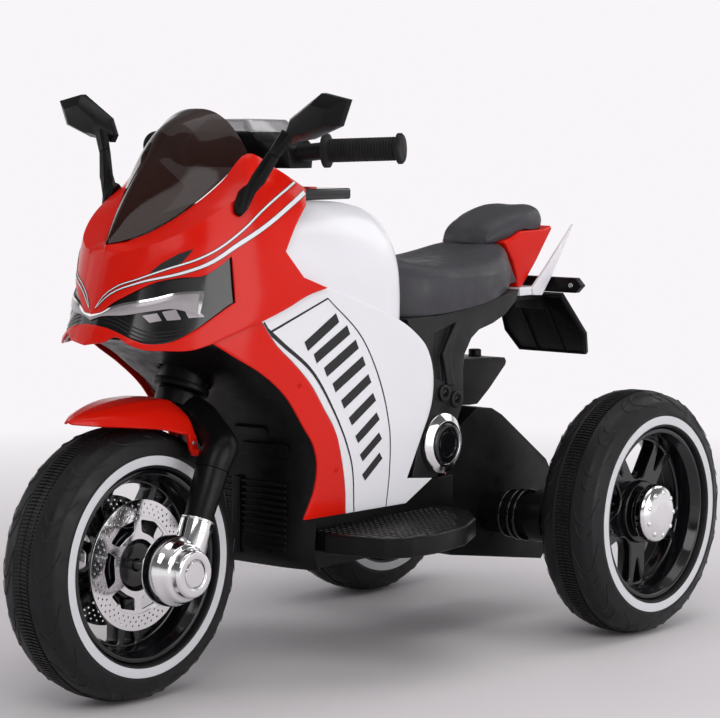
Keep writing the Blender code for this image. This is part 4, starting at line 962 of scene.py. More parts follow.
@cache
def ring_tree() -> NodeTree:
    """Build the tree that repeats a piece round a line along X.

    Returns:
        The tree.
    """
    tree, start = node_group(
        "ring_of_pieces", Geometry="Geometry", Count="Int", Centre="Vector", Material="Material",
    )
    count = start.outputs["Count"]
    line = add_node(tree, "GeometryNodeMeshLine", {"Count": count, "Offset": (0.0, 0.0, 0.0)})
    share = maths(tree, "DIVIDE", add_node(tree, "GeometryNodeInputIndex").outputs[0], count)
    turn = add_node(tree, "ShaderNodeCombineXYZ", {"X": maths(tree, "MULTIPLY", share, 2 * math.pi)})
    copies = instances(tree, line.outputs[0], start.outputs["Geometry"], turn.outputs[0])
    end_tree(tree, start, copies, start.outputs["Centre"])
    return tree


@cache
def row_tree() -> NodeTree:
    """Build the tree that repeats a piece along a straight line.

    Returns:
        The tree.
    """
    tree, start = node_group(
        "row_of_pieces", Geometry="Geometry", Count="Int", Start="Vector", Step="Vector", Material="Material",
    )
    line = add_node(tree, "GeometryNodeMeshLine", {
        "Count": start.outputs["Count"], "Start Location": start.outputs["Start"],
        "Offset": start.outputs["Step"],
    })
    end_tree(tree, start, instances(tree, line.outputs[0], start.outputs["Geometry"]))
    return tree


@cache
def points_tree() -> NodeTree:
    """Build the tree that sets a piece on points and turns it along their facing.

    Returns:
        The tree.
    """
    tree, start = node_group("pieces_on_points", Geometry="Geometry", Piece="Object", Material="Material")
    facing = add_node(tree, "GeometryNodeInputNamedAttribute", {"Name": "facing"}, data_type="FLOAT_VECTOR")
    aim = add_node(
        tree, "FunctionNodeAlignRotationToVector", {"Vector": facing.outputs["Attribute"]}, axis="Z",
    )
    piece = add_node(tree, "GeometryNodeObjectInfo", {"Object": start.outputs["Piece"]})
    copies = instances(tree, start.outputs["Geometry"], piece.outputs["Geometry"], aim.outputs[0])
    end_tree(tree, start, copies)
    return tree


def run_tree(made: Piece, tree: NodeTree, values: dict) -> Piece:
    """Run a node tree on an object and keep the result as a plain mesh.

    Args:
        made: Object whose mesh goes in.
        tree: The tree.
        values: Input values by name.

    Returns:
        The same object.
    """
    modifier = made.modifiers.new(tree.name, "NODES")
    modifier.node_group = tree
    for item in tree.interface.items_tree:
        if item.in_out == "INPUT" and item.name in values:
            modifier[item.identifier] = values[item.name]
    return bake(made)


def on_points(name: str, places: Places, piece: Piece, finish: Finish) -> Piece:
    """Set copies of a piece on points.

    Args:
        name: Name of the result.
        places: (point, facing) of each copy.
        piece: Piece that faces +Z from the origin, which is used up.
        finish: Its finish.

    Returns:
        All of the copies as one piece.
    """
    mesh = bpy.data.meshes.new(name)
    mesh.from_pydata([tuple(point) for point, _ in places], [], [])
    facing = mesh.attributes.new("facing", "FLOAT_VECTOR", "POINT")
    for i, (_, direction) in enumerate(places):
        facing.data[i].vector = Vector(direction)
    mesh.materials.append(finish.material())
    made = linked(name, mesh)
    run_tree(made, points_tree(), {"Piece": piece, "Material": finish.material()})
    bpy.data.objects.remove(piece, do_unlink=True)
    return made


def screws(name: str, places: Places, radius: float, finish: Finish) -> Piece:
    """Set cross-head screws on (point, facing) places."""
    return on_points(name, places, screw_head(radius, finish), finish)


def screw_head(radius: float, finish: Finish) -> Piece:
    """Model a pan head with a cross recess, facing +Z from the origin.

    Args:
        radius: Radius of the head.
        finish: Its finish.

    Returns:
        The head.
    """
    slot, arm = 0.16 * radius, 0.62 * radius
    cross = [
        (arm, -slot), (arm, slot), (slot, slot), (slot, arm), (-slot, arm), (-slot, slot), (-arm, slot),
        (-arm, -slot), (-slot, -slot), (-slot, -arm), (slot, -arm), (slot, -slot),
    ]
    shape = bmesh.new()
    levels = ((1.0, 0.0), (1.0, 0.25 * radius), (0.86, 0.42 * radius))
    rings = [
        [shape.verts.new((*polar(radius * share, math.radians(30 * k - 15)), z))
         for k in range(12)] for share, z in levels
    ]
    rings.append([shape.verts.new((x, y, 0.46 * radius)) for x, y in cross])
    rings.append([shape.verts.new((x * 0.9, y * 0.9, 0.15 * radius)) for x, y in cross])
    for ring, following in zip(rings, rings[1:]):
        bridge(shape, ring, following)
    shape.faces.new(rings[-1])
    return finish_mesh("screw_head", shape, finish, 30.0)


NOSE_LINE = [(0.43, -0.43), (0.469, -0.416), (0.546, -0.392), (0.6, -0.375), (0.66, -0.355)]
HALF_WIDTH = [
    (0.2, 0.124), (0.3, 0.13), (0.5, 0.13), (0.547, 0.124), (0.58, 0.117), (0.62, 0.104), (0.66, 0.092),
]
NOSE_DEPTH = [(0.43, 0.2), (0.5, 0.2), (0.536, 0.165), (0.58, 0.15), (0.66, 0.11)]
COWL_REAR = [
    (0.489, -0.142), (0.504, -0.186), (0.536, -0.214), (0.56, -0.196), (0.599, -0.155), (0.66, -0.155),
]


def half_width_at(y: float, z: float, inset: float = 0.0) -> float:
    """Half width of the body surface.

    Args:
        y: Place along the vehicle.
        z: Height.
        inset: Distance inside the surface.

    Returns:
        The half width there.
    """
    front = read_curve(NOSE_LINE, z) + inset
    half = read_curve(HALF_WIDTH, z) - inset
    share = (y - front) / (read_curve(NOSE_DEPTH, z) - inset)
    if share >= 1.0:
        return half
    return half * math.sqrt(max(0.0, 1.0 - (1.0 - share) ** 2))


def cowl_point(column: float, z: float, inset: float = 0.0) -> Vector:
    """Point of the nose surface.

    Args:
        column: 0 on the nose line, 1 where the nose ends, 2 on the rear edge.
        z: Height.
        inset: Distance inside the surface.

    Returns:
        The point on the left side.
    """
    front = read_curve(NOSE_LINE, z)
    depth = read_curve(NOSE_DEPTH, z)
    half = read_curve(HALF_WIDTH, z) - inset
    if column <= 1.0:
        angle = column * math.pi / 2
        return Vector((half * math.sin(angle), front + depth - (depth - inset) * math.cos(angle), z))
    return Vector((half, blend(front + depth, read_curve(COWL_REAR, z), column - 1.0), z))


@dataclass
class Wheel:
    """Tyre and rim of one wheel.

    Attributes:
        label: Name part, as in the CAD nodes.
        centre: Middle of the wheel.
        body: Body that it turns with.
    """

    label: str
    centre: Vector
    body: Body
    tyre_radius: float = 0.165
    half_width: float = 0.046
    band_half: float = 0.012
    rim_radius: float = 0.116
    rim_half: float = 0.04
    hub_half: float = 0.03
    spokes: int = 5
    window_radius: float = 0.0965
    teeth: int = 224
    tooth_foot: float = 0.1628
    tooth_span: tuple[float, float] = (0.0006, 0.0112)
    tooth_share: float = 0.56
    swirls: int = 15
    ridge_width: float = 0.055
    ridge_section: Pairs = ((-1.0, -0.0004), (-0.45, 0.0004), (0.45, 0.0004), (1.0, -0.0004))
    ridge_lines: tuple[Pairs, ...] = (
        ((0.02, 0.0), (0.25, 0.16), (0.55, 0.19), (0.82, 0.09), (0.98, -0.05)),
        ((0.1, 0.16), (0.34, 0.3), (0.62, 0.31), (0.8, 0.24)),
    )
    shoulder_radius: Pairs = ((0.0, 0.1641), (0.45, 0.1612), (0.8, 0.1532), (1.0, 0.144))
    shoulder_along: Pairs = ((0.0, 0.0145), (0.45, 0.0308), (0.8, 0.0413), (1.0, 0.0443))

    def build(self) -> None:
        """Build the tyre and the rim."""
        self.tyre()
        self.white_bands()
        self.tread()
        self.rim()

    def tyre(self) -> None:
        """Turn the tyre with its rounded shoulders and the groove beside the rim."""
        half = self.half_width
        side = [
            (0.1168, self.rim_half - 0.001), (0.1185, half - 0.001), (0.1215, half - 0.0002),
            (0.134, half - 0.0002), (0.1365, half), (0.1525, half * 0.895), (0.1608, half * 0.665),
            (0.164, self.band_half + 0.0018), (0.1632, self.band_half), (0.1632, 0.0008), (0.1622, 0.0006),
        ]
        profile = rounded(side + [(r, -a) for r, a in reversed(side)], 0.004, 5)
        tyre = lathe(f"tyre_{self.label}_rubber", profile, self.centre, ACROSS, TYRE, closed=True)
        give(tyre, self.body, "tyre_" + self.label)

    def white_bands(self) -> None:
        """Add the pale ring on each sidewall."""
        half = self.half_width
        profile = rounded([
            (0.1205, half - 0.003), (0.1212, half - 0.0001), (0.1326, half - 0.0001), (0.1336, half - 0.0012),
            (0.1336, half - 0.003),
        ], 0.0006, 3)
        for side in Side:
            name = f"tyre_{self.label}_white_ring_{side.label}"
            ring = lathe(name, profile, self.centre, side.axis, TYRE_WHITE, closed=True)
            give(ring, self.body)

    def tread(self) -> None:
        """Add the teeth of the middle band and the flame ridges of both shoulders."""
        for piece, count in ((self.teeth_pair(), self.teeth), (self.flame_ridge(), self.swirls)):
            run_tree(piece, ring_tree(), {
                "Count": count, "Centre": tuple(self.centre), "Material": TYRE.material(),
            })
            give(piece, self.body)

    def teeth_pair(self) -> Piece:
        """Model the tooth of each half of the band at angle 0.

        Returns:
            Both teeth.
        """
        shape = bmesh.new()
        low, high = self.tooth_span
        for side in (-1, 1):
            rings = []
            for radius, share in ((self.tooth_foot, 1.0), (self.tyre_radius - 0.0001, 0.86)):
                half_angle = math.pi / self.teeth * self.tooth_share * share
                rings.append([])
                for along, angle in ((low, -1), (high, -1), (high, 1), (low, 1)):
                    spin = angle * half_angle + 0.006 * (along - low) / (high - low)
                    rings[-1].append(shape.verts.new((side * along, *polar(radius, spin))))
            bridge(shape, *rings)
            shape.faces.new(rings[1])
        bmesh.ops.recalc_face_normals(shape, faces=shape.faces)
        return finish_mesh(f"tyre_{self.label}_tread_teeth", shape, TYRE, 30.0)

    def flame_ridge(self) -> Piece:
        """Model one pair of raised flame curves on both shoulders.

        Returns:
            The curves at angle 0.
        """
        shape = bmesh.new()
        for side, line in product((-1, 1), self.ridge_lines):
            fine = smooth_line([(a, b, 0.0) for a, b in line], 5)
            grid = [[shape.verts.new(q) for q in self.ridge_row(side, fine, i)] for i in range(len(fine))]
            for (row, following), k in product(zip(grid, grid[1:]), range(3)):
                shape.faces.new((row[k], row[k + 1], following[k + 1], following[k]))
        shape.normal_update()
        for face in shape.faces:
            middle = face.calc_center_median()
            if face.normal.dot(Vector((middle.x * 0.5, middle.y, middle.z))) < 0:
                face.normal_flip()
        return finish_mesh(f"tyre_{self.label}_flame_ridges", shape, TYRE, 60.0)

    def ridge_row(self, side: int, line: Sequence[Vector], i: int) -> list[Vector]:
        """Find the points across a ridge.

        Args:
            side: Sign of the shoulder's X.
            line: Middle line as (share across the shoulder, angle) points.
            i: Number of the point.

        Returns:
            The points.
        """
        last = len(line) - 1
        ahead = (line[min(i + 1, last)] - line[max(i - 1, 0)]).normalized()
        width = self.ridge_width * math.sin(math.pi * (0.08 + 0.92 * (1 - i / last)) * 0.9)
        row = []
        for offset, rise in self.ridge_section:
            share = min(1.0, max(0.0, line[i].x - ahead.y * width * offset * 0.5))
            spin = line[i].y + ahead.x * width * offset * 0.32
            radius = read_curve(self.shoulder_radius, share) + rise * (1.0 - 0.6 * share)
            along = read_curve(self.shoulder_along, share) + rise * 0.6 * share
            row.append(Vector((side * along, *polar(radius, spin))))
        return row

    def rim(self) -> None:
        """Make the rim's barrel, its forked spokes and its hub."""
        half, edge, hub_half = self.rim_half, self.rim_radius - 0.0004, self.hub_half
        barrel = [
            (0.0985, 0.0), (0.0995, 0.0125), (0.103, half * 0.7), (0.1085, half - 0.003),
            (0.11, half - 0.0002), (edge, half - 0.0002), (edge, half - 0.004), (0.114, half - 0.006),
            (0.112, 0.0),
        ]
        hub = [
            (0.0075, hub_half), (0.026, hub_half), (0.029, hub_half - 0.003), (0.03, 0.02),
            (0.041, 0.0185), (0.043, 0.0135), (0.043, 0.0),
        ]
        loops = [circle(0.1045, 96), circle(0.012, 48)]
        for k in range(self.spokes):
            turn = 360.0 / self.spokes * k
            loops.append(self.window(turn, (-24.5, 24.5), 0.55, 0.047, 0.01))
            loops.append(self.window(turn, (30.5, 41.5), 0.12, 0.066, 0.004))
        barrel = rounded(barrel + [(r, -a) for r, a in reversed(barrel[1:-1])], 0.0016, 4, True)
        hub = rounded(hub + [(r, -a) for r, a in reversed(hub[:-1])], 0.0012, 3, True)
        parts = [
            lathe("rim_barrel", barrel, self.centre, ACROSS, BLACK_GLOSS, closed=True),
            plate("rim_spokes", loops, 0.022, 0.003, side_place(*self.centre), BLACK_GLOSS),
            lathe("rim_hub", hub, self.centre, ACROSS, BLACK_GLOSS, 72, True),
        ]
        give(joined(f"rim_{self.label}_casting", parts), self.body, "rim_" + self.label)

    def window(
        self, turn: float, span: tuple[float, float], low_share: float, inner: float, corner: float,
    ) -> list[Vector]:
        """Outline of an opening between spokes.

        Args:
            turn: Angle of the spoke pair in degrees.
            span: First and last angle at the outer edge.
            low_share: Share of the span that is left at the inner edge.
            inner: Inner radius.
            corner: Rounding of the corners.

        Returns:
            The closed outline.
        """
        start, end = span
        middle, low_span = (start + end) / 2, (end - start) * low_share
        corners = [(self.window_radius, start + (end - start) * k / 6) for k in range(7)]
        corners = [(inner, middle - low_span / 2), *corners, (inner, middle + low_span / 2)]
        outline = [polar(radius, math.radians(90.0 + turn + angle)) for radius, angle in corners]
        return rounded(outline, corner, 4, True)


@dataclass
class BrakeDisc:
    """Drilled disc on one side of the front hub, with its carrier."""

    side: Side
    face: float = 0.0239
    thickness: float = 0.003
    radius: float = 0.0788
    band_inner: float = 0.0585
    bore: float = 0.0312
    hole_rows: tuple[float, ...] = (0.0628, 0.068, 0.0732)
    hole_radius: float = 0.00125
    holes: int = 44
    windows: int = 6
    window: Pairs = (
        (0.04, -21.0), (0.0545, -24.5), (0.0562, 0.0), (0.0545, 24.5), (0.04, 21.0), (0.0386, 0.0),
    )
    bosses: int = 5
    boss_reach: float = 0.0562

    def build(self) -> None:
        """Make the drilled band, the carrier and its bosses."""
        x = FRONT_AXLE.x + self.side.value * (self.face + self.thickness / 2)
        place = side_place(x, FRONT_AXLE.y, FRONT_AXLE.z)
        loops = [circle(self.radius, 120), circle(self.band_inner, 96)]
        for (row, radius), k in product(enumerate(self.hole_rows), range(self.holes)):
            middle = polar(radius, 2 * math.pi * (k + 0.5 * (row % 2)) / self.holes)
            loops.append([middle + point for point in circle(self.hole_radius, 8)])
        parts = [plate("disc_band", loops, self.thickness, 0.0003, place, CHROME)]
        loops = [circle(self.band_inner + 0.0015, 96), circle(self.bore, 60)]
        for k in range(self.windows):
            turn = 360.0 / self.windows * k
            outline = [polar(radius, math.radians(turn + angle)) for radius, angle in self.window]
            loops.append(rounded(outline, 0.003, 3, True))
        inner = Matrix.Translation(self.side.axis * -0.0004) @ place
        parts.append(plate("disc_carrier", loops, self.thickness * 0.75, 0.0004, inner, CHROME))
        boss = [(0.0, 0.002), (0.0026, 0.002), (0.0034, 0.0013), (0.0034, 0.0)]
        for k in range(self.bosses):
            reach = polar(self.boss_reach, math.radians(360.0 / self.bosses * k + 18.0))
            foot = FRONT_AXLE + Vector((self.side.value * (self.face + 0.001), *reach))
            parts.append(lathe("disc_boss", boss, foot, self.side.axis, CHROME, 24))
        node = "brake_disc_" + self.side.label
        give(joined(node + "_drilled", parts), Body.FRONT_WHEEL, node)


@dataclass
class HubCap:
    """Bright cap on a rear hub."""

    side: Side
    start: float = 0.2664
    profile: Pairs = (
        (0.0, 0.0203), (0.018, 0.02), (0.028, 0.0184), (0.037, 0.0144), (0.0398, 0.01), (0.0398, 0.0002),
        (0.0092, 0.0002),
    )
    bump: Pairs = ((0.0, 0.0026), (0.0022, 0.0022), (0.0036, 0.0008), (0.004, -0.0008))
    bump_reach: float = 0.029
    bumps: int = 9

    def build(self) -> None:
        """Turn the stepped cap and set the bumps on it."""
        axis = self.side.axis
        name = f"hub_cap_{self.side.label}_domed"
        cap = lathe(name, rounded(self.profile, 0.002, 4), REAR_AXLE + axis * self.start, axis, CHROME, 96)
        foot = axis * (self.start + 0.0172) + Vector((0.0, self.bump_reach, 0.0))
        bumps = lathe("hub_cap_bumps", self.bump, foot, axis, CHROME, 16)
        run_tree(bumps, ring_tree(), {
            "Count": self.bumps, "Centre": tuple(REAR_AXLE), "Material": CHROME.material(),
        })
        body = Body.REAR_WHEEL_LEFT if self.side is Side.LEFT else Body.REAR_WHEEL_RIGHT
        give(joined(name, [cap, bumps]), body, "hub_cap_" + self.side.label)


@dataclass
class Fork:
    """Crown arch, lower legs, hub covers and axle."""

    half: float = 0.088
    crown_radius: float = 0.0208
    leg_radius: float = 0.0174
    leg_top_radius: float = 0.0204
    crown_height: float = 0.2
    knee: float = 0.152
    setback: float = 0.012
    cover_start: float = 0.07
    depth: float = 0.051
    screw_turn: tuple[float, float] = (0.94, 0.3)

    def build(self) -> None:
        """Build every part of the fork."""
        self.crown()
        for side in Side:
            self.leg(side)
            self.hub_cover(side)
        axle = refined_copy("front_axle", STEEL, 0.0008, 2)
        give(axle, Body.STEERING, "front_axle")

    def crown(self) -> None:
        """Make the arch over the wheel with the steering column."""
        half, top = self.half, self.crown_height
        arch = [(half, 0.1302, 0.0), (half, 0.136, 0.0), (half, self.knee, 0.3),
                (half * 0.965, self.knee + 0.009, 0.7),
                (half * 0.39, top - 0.0055, 1.0), (half * 0.2, top - 0.0005, 0.6), (0.0, top, 0.3)]
        points = arch + [(-x, along, share) for x, along, share in reversed(arch[:-1])]
        path = rounded(
            [steering_point(along, -share * self.setback, x) for x, along, share in points], 0.009, 5,
        )
        parts = [tube("fork_arch", path, self.crown_radius, BLACK)]
        collar = [
            (0.0, 0.0), (0.0255, 0.0), (0.0275, 0.0015), (0.0275, 0.018), (0.0262, 0.0205), (0.0124, 0.0205),
            (0.0124, 0.3085), (0.0115, 0.3095), (0.0, 0.3095),
        ]
        parts.append(lathe("steering_column", rounded(collar, 0.001, 2), steering_point(self.crown_height),
                           STEERING_AXIS, BLACK, 48))
        give(joined("fork_crown_arch", parts), Body.STEERING, "fork_crown")

    def leg(self, side: Side) -> None:
        """Make a lower leg.

        Args:
            side: Side of the vehicle.
        """
        radius, top = self.leg_radius, self.leg_top_radius
        profile = [(0.0, 0.036), (radius, 0.036), (radius, 0.0715), (top, 0.1295), (0.0, 0.1295)]
        foot = steering_point(0.0, 0.0, side.value * self.half)
        leg = lathe(
            f"fork_leg_{side.label}_lower", rounded(profile, 0.0008, 2), foot, STEERING_AXIS, BLACK, 64,
        )
        give(leg, Body.STEERING, "fork_leg_" + side.label)

    def hub_cover(self, side: Side) -> None:
        """Make the bright dome on the axle with its sleeve.

        Args:
            side: Side of the vehicle.
        """
        depth, axis = self.depth, side.axis
        dome = [
            (0.0064, depth - 0.006), (0.0166, depth - 0.0045), (0.0174, depth - 0.001), (0.0184, depth),
            (0.0265, depth), (0.0285, depth - 0.003), (0.0292, depth - 0.012), (0.034, depth - 0.014),
            (0.037, depth - 0.022), (0.041, depth - 0.028), (0.0424, depth - 0.036), (0.0424, 0.004),
            (0.0398, 0.0002), (0.0066, 0.0002),
        ]
        pin = [
            (0.0, depth - 0.0008), (0.0146, depth - 0.0008), (0.0156, depth - 0.0018), (0.0156, depth - 0.006)
        ]
        outer, inner = self.leg_radius + 0.0024, self.leg_radius + 0.0003
        sleeve = [
            (outer - 0.0018, 0.022), (outer, 0.024), (outer, 0.064), (outer - 0.0006, 0.0655),
            (outer, 0.0668),
            (outer - 0.0004, 0.068), (inner, 0.068), (inner, 0.03),
        ]
        centre, x = FRONT_AXLE + axis * self.cover_start, side.value * self.half
        parts = [
            lathe("hub_dome", rounded(dome, 0.0016, 4), centre, axis, CHROME, 112),
            lathe("hub_pin", pin, centre, axis, CHROME, 64),
            lathe(
                "hub_sleeve", rounded(sleeve, 0.0005, 2), steering_point(0.0, 0.0, x), STEERING_AXIS, CHROME,
                72,
            ),
        ]
        give(joined(f"hub_cover_{side.label}_chromed", parts), Body.STEERING, "hub_cover_" + side.label)
        across, ahead = self.screw_turn
        start = steering_point(0.052, 0.0, x)
        foot = start + axis * (outer - 0.0003) * across + STEERING_FORWARD * outer * ahead
        facing = (axis * across + STEERING_FORWARD * ahead).normalized()
        give(screws(f"hub_cover_{side.label}_screw", [(foot, facing)], 0.0026, STEEL), Body.STEERING)


@dataclass
class FrontMudguard:
    """Red mudguard over the front wheel."""

    stations: Line = (
        (-0.455, 0.3435, 0.003, 0.34, 0.006), (-0.43, 0.352, 0.014, 0.3375, 0.03),
        (-0.395, 0.3595, 0.024, 0.3345, 0.049), (-0.35, 0.3625, 0.029, 0.328, 0.056),
        (-0.318, 0.36, 0.03, 0.32, 0.057), (-0.3, 0.35, 0.03, 0.3165, 0.057),
    )
    tab: Pairs = (
        (-0.3155, 0.3205), (-0.3025, 0.319), (-0.2985, 0.306), (-0.301, 0.295), (-0.3085, 0.297),
    )
    tab_start: float = 0.0568
    boss: tuple[float, float, float] = (0.056, -0.3035, 0.2965)
    boss_profile: Pairs = ((0.0, 0.011), (0.0034, 0.011), (0.0044, 0.01), (0.0044, 0.0), (0.0, 0.0))
    screw: tuple[float, float, float] = (0.0599, -0.306, 0.3085)

    def build(self) -> None:
        """Mould the guard with its fixing tabs."""
        rows = []
        for y, high, top_half, low, bottom_half in self.stations:
            rows.append([
                (0.0, y, high), (top_half, y, high - 0.0015),
                (blend(top_half, bottom_half, 0.55), y, blend(high, low, 0.38)), (bottom_half, y, low),
            ])
        skin = Skin(both_sides(fine_grid(rows, 6, 6, (1,), ())), Vector((0, 0, 1)))
        parts = [skin.shell("front_mudguard_shell", RED)]
        places = []
        for side in Side:
            outline = rounded([Vector(point) for point in self.tab], 0.003, 4, True)
            place = side_place(side.value * self.tab_start)
            parts.append(plate("mudguard_tab_" + side.label, [outline], 0.0064, 0.001, place, RED))
            boss, screw = side.mirror([self.boss, self.screw])
            parts.append(lathe("mudguard_boss_" + side.label, self.boss_profile, boss, side.axis, RED, 32))
            places.append((screw, side.axis))
        give(joined("front_mudguard_moulding", parts), Body.STEERING, "front_fender")
        give(screws("front_mudguard_screws", places, 0.003, STEEL), Body.STEERING)


@dataclass
class Handlebar:
    """Bar, its cover and the grips."""

    path: Line = (
        (0.0, -0.1655, 0.6445), (0.045, -0.164, 0.6465), (0.085, -0.15, 0.6515),
    )
    grip_start: tuple[float, float, float] = (0.118, -0.136, 0.6555)
    grip_turn: float = math.radians(23.5)
    grip_rise: float = 0.035
    grip_length: float = 0.1
    grip_radius: float = 0.0145
    grip_rings: int = 22
    cover_middle: float = -0.1475
    cover_shoulder: tuple[float, float, float] = (0.62, 0.36, 0.6937)
    cover_crown: tuple[float, float] = (0.05, 0.6942)
    cover: Line = (
        (0.634, 0.092, -0.182, -0.116), (0.66, 0.09, -0.19, -0.11), (0.678, 0.066, -0.19, -0.106),
        (0.693, 0.046, -0.183, -0.112),
    )

    def direction(self, side: Side) -> Vector:
        """Unit vector along a grip."""
        across = Vector((side.value * math.cos(self.grip_turn), math.sin(self.grip_turn), self.grip_rise))
        return across.normalized()

    def build(self) -> None:
        """Build the bar, the cover and both grips."""
        start = Vector(self.grip_start)
        end = start + self.direction(Side.LEFT) * (self.grip_length - 0.006)
        left = [Vector(point) for point in self.path] + [start, end]
        points = [Vector((-p.x, p.y, p.z)) for p in reversed(left[1:])] + left
        bar = tube("handlebar_tube", smooth_line(points, 6), 0.0108, BLACK)
        give(bar, Body.STEERING, "handlebar")
        self.cover_shell()
        for side in Side:
            self.grip(side)

    def cover_shell(self) -> None:
        """Mould the cover: a black lower half and a silver top."""
        rows = []
        for z, half, front, rear in self.cover:
            rows.append([
                (0.0, front, z), (half * 0.7, front, z), (half, blend(front, rear, 0.2), z),
                (half, blend(front, rear, 0.8), z), (half * 0.7, rear, z), (0.0, rear, z),
            ])
        lower = fine_grid(rows[:3], 4, 4, (1, 2, 3, 4))
        skin = Skin(both_sides(lower), Vector((0, -1, 1)))
        black = skin.shell("handlebar_cover_lower", BLACK, 0.003, 0.0008)
        give(black, Body.STEERING, "handlebar_cover")
        top = [(x * 0.995, y, z + 0.0006) for x, y, z in rows[2]]
        reach, share, height = self.cover_shoulder
        middle = [(x * reach, blend(y, self.cover_middle, share), height) for x, y, z in rows[3]]
        reach, height = self.cover_crown
        crown = [(x * reach, self.cover_middle, height) for x, y, z in rows[3]]
        silver = Skin(
            both_sides(fine_grid([top, rows[3], middle, crown], 4, 4, (1, 2, 3, 4), (1,))),
            Vector((0, -1, 1)),
        )
        give(silver.shell("handlebar_cover_top", SILVER, 0.003, 0.0008), Body.STEERING)

    def grip(self, side: Side) -> None:
        """Turn a ribbed grip with its flanges.

        Args:
            side: Side of the vehicle.
        """
        length, radius, count = self.grip_length, self.grip_radius, self.grip_rings
        profile = [(0.0, length), (0.0168, length), (0.0188, length - 0.002), (0.0188, length - 0.006),
                   (radius, length - 0.008)]
        for k in range(count):
            along = blend(length - 0.01, 0.01, k / (count - 1))
            pitch = (length - 0.02) / (count - 1)
            profile += [(radius, along + pitch * 0.24), (radius - 0.0009, along + pitch * 0.12),
                        (radius - 0.0009, along - pitch * 0.12), (radius, along - pitch * 0.24)]
        profile += [(radius, 0.008), (0.0208, 0.006), (0.0208, 0.0004), (0.0112, 0.0)]
        centre = Vector((side.value * self.grip_start[0], *self.grip_start[1:]))
        grip = lathe(
            f"grip_{side.label}_ribbed", profile, centre, self.direction(side), RUBBER, 56, sharp=28.0,
        )
        give(grip, Body.STEERING, "grip_" + side.label)


